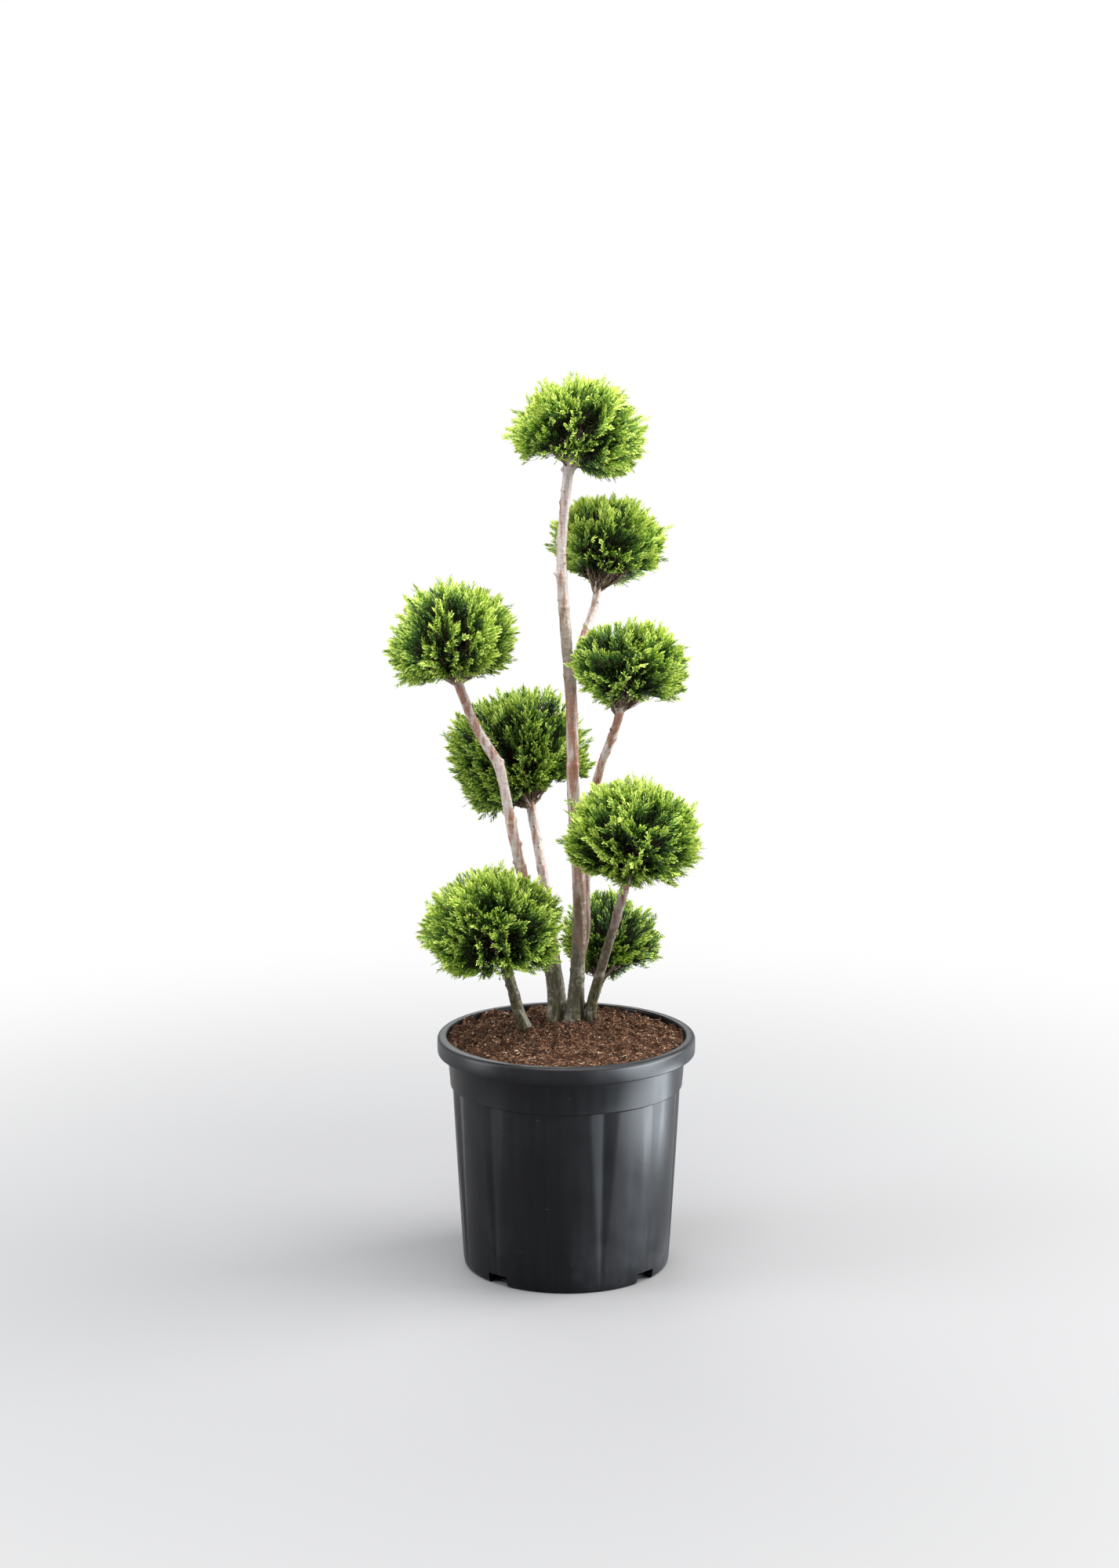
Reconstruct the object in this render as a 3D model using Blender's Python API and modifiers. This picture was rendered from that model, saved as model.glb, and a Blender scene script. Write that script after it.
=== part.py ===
"""A cypress trained as eight clipped balls on bare stems, standing in a round nursery pot.

Metres, +Z up. The origin is the middle of the pot's flat underside, and -Y is the front.
Sizes are written in centimetres and turned into metres where they are used.
"""
import math

import bmesh
import bpy
from mathutils import Matrix, Vector, noise

CM = 0.01
GAP = 0.0003                # clearance between solids that touch

# Pot, in cm: a 20 litre container, 34 cm across the rim and 31 cm high.
POT_HEIGHT = 30.8
POT_STEPS = 60
RIM_RADIUS = 17.05
RIM_INNER_RADIUS = 15.75
RIM_DEPTH = 2.3             # height of the rolled band
COLLAR_RADIUS = (15.7, 15.35)   # under the rim, and at the step
STEP_HEIGHT = 24.4          # where the collar steps in to the body
BODY_RADIUS = (15.05, 13.6)     # under the step, and at the foot
BODY_TOP = 24.05            # height where the body starts under the step
BODY_SWELL = 0.9            # 1 is a straight taper, less is fuller
FLOOR_THICKNESS = 0.4
WALL_THICKNESS = 0.42
FLUTE_COUNT = 12
FLUTE_START = 19.0          # degrees from the front, towards +X
FLUTE_HALF_WIDTH = 8.0      # degrees, at the step
FLUTE_DEPTH = 0.2
NOTCH_ANGLES = (-131.0, -41.0, 49.0, 139.0)
NOTCH_SIZE = (3.1, 1.4)     # width, height

# Soil, in cm: a low mound with a level middle that the stems stand on.
SOIL_TOP = 31.2
SOIL_EDGE_TOP = 30.3
SOIL_LEVEL_RADIUS = 9.0
SOIL_STEPS = 36

# Limbs, in cm. Each runs from its foot to its tip through a few bends.
# thick: diameter above the flare and at the tip. flare: what the foot adds. collar: what the tip adds.
LIMBS = {
    "trunk": dict(
        bends=[(0.95, 4.7, 31.2), (1.35, 4.8, 35.5), (1.8, 5.0, 47.5), (0.95, 5.0, 62.0),
               (0.7, 5.0, 74.0), (0.05, 5.0, 82.0), (-0.65, 5.1, 93.0), (-0.15, 5.3, 101.0),
               (0.5, 5.5, 106.6)],
        thick=(2.0, 1.2), flare=0.9, collar=0.95, sides=10),
    "stem_front_left": dict(
        bends=[(-5.25, -0.4, 31.2), (-6.3, -0.9, 34.0), (-7.05, -1.7, 37.2), (-8.2, -3.1, 41.6)],
        thick=(1.52, 1.25), flare=0.25, collar=0.2, sides=8),
    "stem_left": dict(
        bends=[(-1.6, 4.6, 31.2), (-2.1, 4.7, 38.0), (-5.5, 4.5, 50.0), (-7.2, 4.3, 57.5),
               (-8.4, 4.0, 64.0), (-9.2, 3.9, 66.6), (-12.0, 3.5, 71.5), (-14.5, 3.0, 77.9)],
        thick=(1.62, 1.2), flare=0.25, collar=0.15, sides=8),
    "stem_middle_left": dict(
        bends=[(-0.35, 7.4, 31.2), (-1.35, 8.4, 38.0), (-2.9, 10.0, 48.5), (-4.3, 11.5, 56.5),
               (-5.1, 12.4, 60.8)],
        thick=(1.34, 1.2), flare=0.2, collar=0.6, sides=8),
    "stem_front_right": dict(
        bends=[(3.3, 4.5, 31.2), (3.55, 4.1, 34.4), (4.95, 2.5, 40.0), (6.3, 0.6, 45.2),
               (8.1, -2.5, 52.6)],
        thick=(1.34, 1.1), flare=0.25, collar=0.1, sides=8),
    "stem_back_right": dict(
        bends=[(3.0, 7.7, 31.2), (3.7, 9.4, 33.0), (5.0, 12.0, 36.2)],
        thick=(1.15, 1.05), flare=0.2, collar=0.3, sides=8),
    "bough_right": dict(
        bends=[(1.8, 5.5, 38.8), (2.7, 6.35, 43.5), (2.65, 6.2, 50.5), (3.0, 5.4, 58.0),
               (4.45, 3.9, 65.5), (6.6, 2.2, 71.8), (7.2, 1.5, 75.3)],
        thick=(1.06, 1.1), flare=0.0, collar=0.35, sides=8),
    "bough_upper_right": dict(
        bends=[(0.4, 5.2, 75.6), (1.15, 6.2, 78.4), (2.1, 8.2, 82.2), (3.7, 10.8, 86.4),
               (4.4, 12.2, 90.0)],
        thick=(0.95, 0.9), flare=0.0, collar=0.25, sides=8),
}
FLARE_HEIGHT = 2.2          # over which a foot widens
COLLAR_HEIGHT = 1.3         # over which a tip widens

# Foliage, in cm: the middle of each clipped ball, and its width, depth and height.
# clock: the outline seen from the front, as shares of the half size at 12 o'clock, 1 o'clock and so on.
BALLS = {
    "foliage_top": dict(
        middle=(1.3, 5.5, 110.4), size=(18.9, 18.0, 13.8),
        clock=(1.00, 1.02, 0.92, 0.93, 0.96, 1.03, 0.78, 0.73, 0.93, 0.99, 0.88, 0.97)),
    "foliage_upper_right": dict(
        middle=(5.9, 12.5, 94.8), size=(16.4, 16.0, 12.8),
        clock=(0.99, 0.97, 0.96, 0.99, 0.99, 1.04, 0.98, 0.92, 0.95, 1.00, 1.03, 1.08)),
    "foliage_left": dict(
        middle=(-15.2, 3.0, 83.6), size=(17.5, 17.0, 14.3),
        clock=(0.99, 0.96, 0.97, 0.94, 1.02, 0.92, 0.87, 1.10, 1.12, 0.93, 0.90, 1.05)),
    "foliage_right": dict(
        middle=(8.5, 0.7, 79.5), size=(16.6, 16.0, 13.5),
        clock=(1.00, 1.05, 0.96, 0.99, 0.97, 1.04, 0.93, 0.80, 0.83, 0.96, 1.03, 1.01)),
    "foliage_middle_left": dict(
        middle=(-6.7, 13.5, 66.7), size=(20.0, 17.2, 18.5),
        clock=(0.97, 1.01, 0.99, 0.99, 0.98, 0.76, 0.82, 1.02, 0.88, 0.96, 0.97, 0.92)),
    "foliage_lower_right": dict(
        middle=(8.5, -4.2, 58.6), size=(19.1, 17.6, 14.7),
        clock=(0.97, 0.97, 0.97, 0.97, 1.09, 1.07, 0.97, 0.97, 1.05, 0.99, 0.97, 1.01)),
    "foliage_lower_left": dict(
        middle=(-9.8, -5.6, 46.8), size=(19.1, 18.0, 15.6),
        clock=(0.98, 0.98, 1.05, 0.99, 1.06, 0.87, 0.90, 0.98, 0.96, 0.99, 0.90, 0.97)),
    "foliage_back_right": dict(
        middle=(6.2, 14.1, 40.5), size=(14.2, 13.8, 13.5),
        clock=(1.00, 0.87, 0.93, 1.00, 0.97, 0.94, 1.00, 0.90, 0.96, 1.00, 1.00, 1.01)),
}
BALL_SEGMENTS = 26
BALL_RINGS = 12
UNEVENNESS = 0.05           # share of the radius that the clipped face wanders by
LUMP_SIZE = 1.9             # lumps across the radius
ENTERS = {
    "foliage_top": ["trunk"],
    "foliage_upper_right": ["bough_upper_right"],
    "foliage_left": ["stem_left"],
    "foliage_right": ["bough_right"],
    "foliage_middle_left": ["stem_middle_left"],
    "foliage_lower_right": ["stem_front_right"],
    "foliage_lower_left": ["stem_front_left"],
    "foliage_back_right": ["stem_back_right"],
}

# Colour, roughness of each kind of material.
FINISHES = {
    "pot": ((0.030, 0.031, 0.034), 0.42),
    "soil": ((0.110, 0.045, 0.022), 0.95),
    "bark": ((0.270, 0.190, 0.140), 0.75),
    "foliage": ((0.120, 0.280, 0.030), 0.65),
}


def clear_scene():
    for item in list(bpy.data.objects):
        bpy.data.objects.remove(item, do_unlink=True)


def new_collection(name):
    group = bpy.data.collections.new(name)
    bpy.context.scene.collection.children.link(group)
    return group


def finish(item, kind):
    """Gives the object a material of its own, in the colour of its kind."""
    colour, roughness = FINISHES[kind]
    material = bpy.data.materials.new(item.name + "_" + kind)
    material.use_nodes = True
    shader = material.node_tree.nodes["Principled BSDF"]
    shader.inputs["Base Color"].default_value = (*colour, 1.0)
    shader.inputs["Roughness"].default_value = roughness
    shader.inputs["Metallic"].default_value = 0.0
    item.data.materials.clear()
    item.data.materials.append(material)
    item.data.shade_smooth()


def add_mesh_object(name, mesh, group):
    item = bpy.data.objects.new(name, mesh)
    group.objects.link(item)
    return item


def real_mesh(item, group):
    """Replaces an object by the mesh that its modifiers or its curve make."""
    bpy.context.view_layer.update()
    evaluated = item.evaluated_get(bpy.context.evaluated_depsgraph_get())
    mesh = bpy.data.meshes.new_from_object(evaluated)
    welded = bmesh.new()
    welded.from_mesh(mesh)
    bmesh.ops.remove_doubles(welded, verts=welded.verts, dist=0.00001)
    welded.to_mesh(mesh)
    welded.free()
    name = item.name
    place = item.matrix_world.copy()
    bpy.data.objects.remove(item, do_unlink=True)
    made = add_mesh_object(name, mesh, group)
    made.matrix_world = place
    return made


def cut(item, cutter):
    """Takes the cutter's shape out of the object."""
    modifier = item.modifiers.new("cut_by_" + cutter.name, "BOOLEAN")
    modifier.operation = "DIFFERENCE"
    modifier.solver = "EXACT"
    modifier.object = cutter


def as_cutter(item):
    item.hide_render = True
    item.display_type = "WIRE"


def turned(name, profile, group, steps, start=0.0):
    """Turns a closed half section, given as (radius, height) in cm, about the Z axis."""
    mesh = bpy.data.meshes.new(name)
    points = [(radius * CM, 0.0, height * CM) for radius, height in profile]
    edges = [(index, index + 1) for index in range(len(points) - 1)]
    mesh.from_pydata(points, edges, [])
    item = add_mesh_object(name, mesh, group)
    item.rotation_euler.z = math.radians(start)
    screw = item.modifiers.new("turn", "SCREW")
    screw.axis = "Z"
    screw.angle = math.tau
    screw.steps = steps
    screw.render_steps = steps
    screw.use_merge_vertices = True
    screw.merge_threshold = 0.0001
    screw.use_normal_calculate = True
    return item


def inner_wall():
    """The pot's inside as (radius, height) in cm, from the floor to the rim."""
    return [
        (BODY_RADIUS[1] - WALL_THICKNESS, FLOOR_THICKNESS),
        (BODY_RADIUS[0] - WALL_THICKNESS, STEP_HEIGHT - 0.6),
        (COLLAR_RADIUS[1] - 0.3, STEP_HEIGHT + 0.6),
        (RIM_INNER_RADIUS - 0.15, POT_HEIGHT - RIM_DEPTH),
        (RIM_INNER_RADIUS, POT_HEIGHT - 0.35),
    ]


def body_radius(share):
    """Radius of the body in cm, from the foot at 0 to the step at 1."""
    return BODY_RADIUS[1] + (BODY_RADIUS[0] - BODY_RADIUS[1]) * share ** BODY_SWELL


def outer_wall():
    """The pot's outside as (radius, height) in cm, from the rim to the foot."""
    band_bottom = POT_HEIGHT - RIM_DEPTH
    body = [(body_radius(share), BODY_TOP * share) for share in (1.0, 0.5, 0.03)]
    return [
        (RIM_INNER_RADIUS + 0.3, POT_HEIGHT),
        (RIM_RADIUS - 0.5, POT_HEIGHT),
        (RIM_RADIUS - 0.12, POT_HEIGHT - 0.3),
        (RIM_RADIUS, POT_HEIGHT - 0.8),
        (RIM_RADIUS - 0.03, band_bottom + 0.15),
        (RIM_RADIUS - 0.2, band_bottom),
        (COLLAR_RADIUS[0], band_bottom),
        (COLLAR_RADIUS[1], STEP_HEIGHT),
    ] + body + [(BODY_RADIUS[1] - 0.35, 0.0)]


def press_flutes(item):
    """Presses tapering V grooves into the body, widest under the step and gone at the foot."""
    spacing = 360.0 / FLUTE_COUNT
    for vertex in item.data.vertices:
        place = item.matrix_world @ vertex.co
        share = place.z / (BODY_TOP * CM)
        radius = math.hypot(place.x, place.y)
        if not 0.0 < share < 1.01 or abs(radius - body_radius(share) * CM) > 0.1 * CM:
            continue
        bearing = math.degrees(math.atan2(place.x, -place.y)) - FLUTE_START
        offset = abs((bearing + 0.5 * spacing) % spacing - 0.5 * spacing)
        width = FLUTE_HALF_WIDTH * (0.15 + 0.85 * share)
        depth = FLUTE_DEPTH * CM * math.sqrt(share) * max(0.0, 1.0 - offset / width)
        vertex.co *= Vector((1.0 - depth / radius, 1.0 - depth / radius, 1.0))


def make_pot(parts, cutters):
    profile = [(0.0, FLOOR_THICKNESS)] + inner_wall() + outer_wall() + [(0.0, 0.0)]
    pot = turned("pot", profile, parts, POT_STEPS, FLUTE_START - 90.0)
    pot = real_mesh(pot, parts)
    press_flutes(pot)
    width, height = NOTCH_SIZE
    for bearing in NOTCH_ANGLES:
        turn = Matrix.Rotation(math.radians(bearing), 4, "Z")
        shape = bmesh.new()
        bmesh.ops.create_cube(shape, size=1.0)
        bmesh.ops.scale(shape, vec=(width * CM, 3.0 * CM, 2.0 * height * CM), verts=shape.verts)
        bmesh.ops.translate(shape, vec=(0.0, -BODY_RADIUS[1] * CM, 0.0), verts=shape.verts)
        bmesh.ops.transform(shape, matrix=turn, verts=shape.verts)
        mesh = bpy.data.meshes.new("notch")
        shape.to_mesh(mesh)
        shape.free()
        notch = add_mesh_object("notch_cutter_%d" % (bearing % 360), mesh, cutters)
        as_cutter(notch)
        cut(pot, notch)
    finish(pot, "pot")


def make_soil(parts):
    wall = [(radius - 2.0 * GAP / CM, height) for radius, height in inner_wall()]
    floor = FLOOR_THICKNESS + GAP / CM
    wall[0] = (wall[0][0], floor)
    wall[-1] = (wall[-1][0] - 0.02, SOIL_EDGE_TOP)
    middle = 0.5 * (SOIL_TOP + SOIL_EDGE_TOP) + 0.12
    top = [(0.0, SOIL_TOP), (SOIL_LEVEL_RADIUS, SOIL_TOP), (12.8, middle)]
    soil = turned("soil", top + wall[::-1] + [(0.0, floor)], parts, SOIL_STEPS)
    soil = real_mesh(soil, parts)
    finish(soil, "soil")


def thickness(limb, height, along):
    """Diameter in cm: an even taper, a flare near the ground and a collar at the tip."""
    low, high = limb["thick"]
    last = limb["bends"][-1][2]
    plain = low + (high - low) * along
    flare = limb["flare"] * math.exp(-max(0.0, height - SOIL_TOP) / FLARE_HEIGHT)
    collar = limb["collar"] * math.exp(-max(0.0, last - height) / COLLAR_HEIGHT)
    return plain + flare + collar


def limb_curve(name, limb, group, fatter=0.0, longer=0.0):
    """One tapering limb: a smooth curve through its bends, round in section."""
    curve = bpy.data.curves.new(name, "CURVE")
    curve.dimensions = "3D"
    curve.resolution_u = 3
    curve.bevel_depth = CM
    curve.bevel_resolution = (limb["sides"] - 4) // 2
    curve.use_fill_caps = True
    places = [Vector(place) for place in limb["bends"]]
    if limb["flare"]:
        places[0] = places[0] - (places[1] - places[0]).normalized()
    if longer:
        places[-1] = places[-1] + (places[-1] - places[-2]).normalized() * longer
    runs = [(places[index + 1] - places[index]).length for index in range(len(places) - 1)]
    spline = curve.splines.new("BEZIER")
    spline.bezier_points.add(len(places) - 1)
    for index, place in enumerate(places):
        point = spline.bezier_points[index]
        point.co = place * CM
        point.handle_left_type = "AUTO"
        point.handle_right_type = "AUTO"
        along = sum(runs[:index]) / sum(runs)
        point.radius = 0.5 * thickness(limb, place.z, along) + fatter
    item = bpy.data.objects.new(name, curve)
    group.objects.link(item)
    return real_mesh(item, group)


def make_limbs(parts, cutters):
    """Makes the limbs, level at the ground, with the boughs fitted to the trunk."""
    shape = bmesh.new()
    bmesh.ops.create_cube(shape, size=1.0)
    bmesh.ops.scale(shape, vec=(0.4, 0.4, 0.1), verts=shape.verts)
    bmesh.ops.translate(shape, vec=(0.0, 0.0, SOIL_TOP * CM + GAP - 0.05), verts=shape.verts)
    mesh = bpy.data.meshes.new("ground")
    shape.to_mesh(mesh)
    shape.free()
    ground = add_mesh_object("ground_cutter", mesh, cutters)
    as_cutter(ground)
    clear = 1.4 * GAP / CM
    seats = {}
    for name, limb in LIMBS.items():
        item = limb_curve(name, limb, parts)
        if limb["flare"]:
            cut(item, ground)
        seat = limb_curve(name + "_seat_cutter", limb, cutters, clear, clear)
        as_cutter(seat)
        seats[name] = seat
        if name.startswith("bough"):
            cut(item, seats["trunk"])
        finish(item, "bark")
    return seats


def clock_share(direction, clock):
    """The front outline's share of the half size: a smooth curve through the hours of the clock."""
    time = math.atan2(direction.x, direction.z) / math.tau * len(clock)
    hour = math.floor(time)
    part = time - hour
    before, here, after, later = (clock[(hour + step) % len(clock)] for step in (-1, 0, 1, 2))
    bend = part * (3.0 * (here - after) + later - before)
    slope = part * (2.0 * before - 5.0 * here + 4.0 * after - later + bend)
    return here + 0.5 * part * (after - before + slope)


def ball_reach(direction, ball, seed):
    """Distance to the clipped face, as a share of the half size, rounder towards the front and back."""
    lump = noise.noise(direction * LUMP_SIZE + Vector((seed, 0.37 * seed, -seed)))
    sideways = 1.0 - direction.y ** 2
    outline = 1.0 + sideways * (clock_share(direction, ball["clock"]) - 1.0)
    return outline * (1.0 + 2.0 * UNEVENNESS * lump)


def make_ball(name, seed, parts, seats):
    """One uneven clipped ball, brought to its exact width, depth and height."""
    ball = BALLS[name]
    shape = bmesh.new()
    bmesh.ops.create_uvsphere(shape, u_segments=BALL_SEGMENTS, v_segments=BALL_RINGS, radius=1.0)
    for vertex in shape.verts:
        direction = vertex.co.normalized()
        vertex.co = direction * ball_reach(direction, ball, seed)
    for axis in range(3):
        low = min(vertex.co[axis] for vertex in shape.verts)
        high = max(vertex.co[axis] for vertex in shape.verts)
        for vertex in shape.verts:
            share = (vertex.co[axis] - low) / (high - low) - 0.5
            vertex.co[axis] = (ball["middle"][axis] + share * ball["size"][axis]) * CM
    mesh = bpy.data.meshes.new(name)
    shape.to_mesh(mesh)
    shape.free()
    item = add_mesh_object(name, mesh, parts)
    for limb in ENTERS[name]:
        cut(item, seats[limb])
    finish(item, "foliage")


def main():
    clear_scene()
    parts = new_collection("potted_cypress")
    cutters = new_collection("cutters")
    make_pot(parts, cutters)
    make_soil(parts)
    seats = make_limbs(parts, cutters)
    for number, name in enumerate(BALLS):
        make_ball(name, 3.1 * (number + 1), parts, seats)


main()
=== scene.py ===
import math
import bpy
import numpy as np
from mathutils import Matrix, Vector
from mathutils.bvhtree import BVHTree


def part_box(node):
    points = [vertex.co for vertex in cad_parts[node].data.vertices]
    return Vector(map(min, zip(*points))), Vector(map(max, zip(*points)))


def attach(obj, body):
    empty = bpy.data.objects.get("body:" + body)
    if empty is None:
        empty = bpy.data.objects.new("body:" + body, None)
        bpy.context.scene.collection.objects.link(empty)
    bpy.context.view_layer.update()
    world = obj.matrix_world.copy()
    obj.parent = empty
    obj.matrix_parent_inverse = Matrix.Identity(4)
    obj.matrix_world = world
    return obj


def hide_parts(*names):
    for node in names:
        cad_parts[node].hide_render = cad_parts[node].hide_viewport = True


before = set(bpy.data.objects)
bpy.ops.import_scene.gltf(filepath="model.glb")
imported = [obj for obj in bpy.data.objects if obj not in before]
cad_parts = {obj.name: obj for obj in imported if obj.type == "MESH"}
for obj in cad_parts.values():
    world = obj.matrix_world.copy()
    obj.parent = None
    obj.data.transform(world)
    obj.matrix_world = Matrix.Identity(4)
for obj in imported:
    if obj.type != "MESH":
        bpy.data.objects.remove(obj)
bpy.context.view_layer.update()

cm = 0.01
up = np.array([0.0, 0.0, 1.0])
fullTurn = 2 * math.pi


# Vectors and angles, as whole arrays

def unit(rows):
    # each row divided by its length
    return rows / np.maximum(np.linalg.norm(rows, axis=-1, keepdims=True), 1e-12)


def dots(a, b):
    # the dot product of each pair of rows, kept as a column
    return np.sum(a * b, axis=-1, keepdims=True)


def squareTo(rows, along):
    # each row without its share along its own unit direction, made unit again
    return unit(rows - along * dots(rows, along))


def turnAbout(rows, axes, angles):
    # each row turned about its own unit axis by its own angle
    c, s = np.cos(angles)[:, None], np.sin(angles)[:, None]
    return rows * c + np.cross(axes, rows) * s + axes * dots(axes, rows) * (1 - c)


def sweep(first, second, turn):
    # the direction at a turn from the first of two square directions towards the second
    return first * np.cos(turn)[..., None] + second * np.sin(turn)[..., None]


def bearings(count):
    # even angles once round
    return np.linspace(0, fullTurn, count, endpoint=False)


def levelWays(turn):
    # the level direction at each angle, counted from +X
    return np.stack([np.cos(turn), np.sin(turn), 0 * turn], 1)


def turnBetween(a, b):
    # the angle between two bearings, up to half a turn
    return np.abs((a - b + math.pi) % fullTurn - math.pi)


def hump(offset, width):
    # 1 at no offset, falling to nothing on both sides as a bell curve of the given width
    return np.exp(-(offset / width) ** 2)


def evenDirections(count, rng, jitter):
    # a golden-angle spiral over the sphere, each direction shaken a little
    index = np.arange(count) + 0.5
    height = 1 - 2 * index / count
    ring = np.sqrt(1 - height ** 2)
    turn = index * math.pi * (3 - math.sqrt(5))
    spiral = np.stack([ring * np.cos(turn), ring * np.sin(turn), height], 1)
    return unit(spiral + rng.normal(0, jitter, (count, 3)))


def waves(points, seed, count, size):
    # smooth seeded unevenness: a sum of plane sine waves in random directions, about -1 to 1
    rng = np.random.default_rng(seed)
    directions = unit(rng.normal(size=(count, 3)))
    rates = rng.uniform(0.6, 1.7, count) * fullTurn / size
    phases = rng.uniform(0, fullTurn, count)
    return np.sin(points @ (directions * rates[:, None]).T + phases).sum(1) / math.sqrt(count)


# Meshes, from arrays

def meshPiece(name, points, faces, finishes, which=None, smooth=False):
    # faces is an array of rows of equal length, or a list of such arrays
    groups = faces if isinstance(faces, list) else [faces]
    mesh = bpy.data.meshes.new(name)
    corners = np.concatenate([g.ravel() for g in groups]).astype(np.int32)
    totals = np.concatenate([np.full(len(g), g.shape[1]) for g in groups])
    starts = np.concatenate([[0], np.cumsum(totals)[:-1]]).astype(np.int32)
    mesh.vertices.add(len(points))
    mesh.vertices.foreach_set("co", np.asarray(points, np.float32).ravel())
    mesh.loops.add(len(corners))
    mesh.loops.foreach_set("vertex_index", corners)
    mesh.polygons.add(len(totals))
    mesh.polygons.foreach_set("loop_start", starts)
    for finish in finishes:
        mesh.materials.append(finish)
    if which is not None:
        mesh.polygons.foreach_set("material_index", np.asarray(which, np.int32))
    mesh.polygons.foreach_set("use_smooth", np.full(len(totals), smooth))
    mesh.update(calc_edges=True)
    mesh.validate()
    piece = bpy.data.objects.new(name, mesh)
    bpy.context.scene.collection.objects.link(piece)
    return piece


def place(piece, slot, *nodes):
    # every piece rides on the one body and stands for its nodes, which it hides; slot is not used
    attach(piece, "root")
    if nodes:
        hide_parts(*nodes)


def gridFaces(rows, columns):
    # quads between neighbouring rows, each row running round the section
    r, c = np.meshgrid(np.arange(rows - 1), np.arange(columns), indexing="ij")
    a = r * columns + c
    b = r * columns + (c + 1) % columns
    return np.stack([a, b, b + columns, a + columns], -1).reshape(-1, 4)


def hubFaces(first, count, hub):
    # triangles from a ring of points to the one point that closes it
    ring = np.arange(count)
    return np.stack([first + ring, first + (ring + 1) % count, np.full(count, hub)], 1)


def copies(pattern, count, step):
    # the faces of many like shapes, each with its own points
    return (np.array(pattern)[None] + step * np.arange(count)[:, None, None]).reshape(-1, len(pattern[0]))


boxCorners = np.array([[x, y, z] for x in (-1, 1) for y in (-1, 1) for z in (-1, 1)], float)
boxFaces = np.array([[0, 1, 3, 2], [4, 6, 7, 5], [0, 4, 5, 1], [2, 3, 7, 6], [0, 2, 6, 4], [1, 5, 7, 3]])


def smoothPath(places, count):
    # a Catmull-Rom curve through the places, read at even steps of its length
    p = np.asarray(places, float)
    p = np.vstack([2 * p[0] - p[1], p, 2 * p[-1] - p[-2]])
    t = np.linspace(0, len(p) - 3 - 1e-9, 40 * len(p))
    i = t.astype(int)
    f = (t - i)[:, None]
    a, b, c, d = p[i], p[i + 1], p[i + 2], p[i + 3]
    line = 0.5 * (2 * b + (c - a) * f + (2 * a - 5 * b + 4 * c - d) * f ** 2
                  + (3 * b - a - 3 * c + d) * f ** 3)
    along = np.concatenate([[0], np.cumsum(np.linalg.norm(np.diff(line, axis=0), axis=1))])
    even = np.linspace(0, along[-1], count)
    return np.stack([np.interp(even, along, line[:, k]) for k in range(line.shape[1])], 1)


def pathFrames(line):
    # the tangent at each point, and two directions across it that don't spin
    tangent = unit(np.gradient(line, axis=0))
    side = unit(np.cross(tangent, np.array([0.13, 1.0, 0.02])))
    return tangent, side, np.cross(tangent, side)


# Shader maths: a node's output that adds, takes away and multiplies

class Wire:
    def __init__(self, graph, socket):
        self.graph = graph
        self.socket = socket

    def __add__(self, other):
        return self.graph.maths("ADD", self, other)

    def __sub__(self, other):
        return self.graph.maths("SUBTRACT", self, other)

    def __rsub__(self, other):
        return self.graph.maths("SUBTRACT", other, self)

    def __mul__(self, other):
        return self.graph.maths("MULTIPLY", self, other)

    __radd__ = __add__
    __rmul__ = __mul__


class Graph:
    def __init__(self, name):
        self.material = bpy.data.materials.new(name)
        self.material.use_nodes = True
        self.tree = self.material.node_tree
        self.shader = self.tree.nodes["Principled BSDF"]
        self.coordinates = self.node("TexCoord", output="Object")

    def node(self, kind, settings=None, inputs=None, output=0):
        # any node: its settings first, a ramp's stops among them, then the values or links of its sockets
        made = self.tree.nodes.new("ShaderNode" + kind)
        for key, value in (settings or {}).items():
            if key == "stops":
                fillRamp(made.color_ramp, value)
            else:
                setattr(made, key, value)
        for key, value in (inputs or {}).items():
            self.feed(made.inputs[key], value)
        return Wire(self, made.outputs[output])

    def feed(self, socket, value):
        if isinstance(value, Wire):
            self.tree.links.new(value.socket, socket)
        else:
            socket.default_value = value

    def maths(self, operation, a, b):
        return self.node("Math", {"operation": operation}, {0: a, 1: b})

    def noise(self, scale, detail=3.0, rough=0.55):
        # a scale of three numbers stretches the pattern
        at = self.coordinates
        if isinstance(scale, tuple):
            at = self.node("Mapping", None, {"Vector": at, "Scale": scale})
            scale = 1.0
        spots = {"Vector": at, "Scale": scale, "Detail": detail, "Roughness": rough}
        return self.node("TexNoise", None, spots)

    def ramp(self, wire, stops):
        return self.node("ValToRGB", {"stops": stops}, {"Fac": wire})

    def coats(self, colour, *coats):
        # coats laid over a colour one after another, each with its share and its own colour
        for share, coat in coats:
            over = coat if isinstance(coat, Wire) else (*coat, 1.0)
            colour = self.node("Mix", {"data_type": "RGBA"}, {0: share, 6: colour, 7: over}, 2)
        return colour

    def between(self, wire, low, high, fromLow=0.0, fromHigh=1.0):
        return self.node("MapRange", {"clamp": True}, {0: wire, 1: fromLow, 2: fromHigh, 3: low, 4: high})

    def bump(self, height, distance, strength):
        return self.node("Bump", None, {"Height": height, "Distance": distance, "Strength": strength})

    def finish(self, **sockets):
        for name, value in sockets.items():
            self.feed(self.shader.inputs[name.replace("_", " ")], value)
        return self.material


def fillRamp(ramp, stops):
    while len(ramp.elements) < len(stops):
        ramp.elements.new(0.5)
    for element, (position, colour) in zip(ramp.elements, stops):
        element.position = position
        element.color = (*colour, 1.0)


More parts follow.
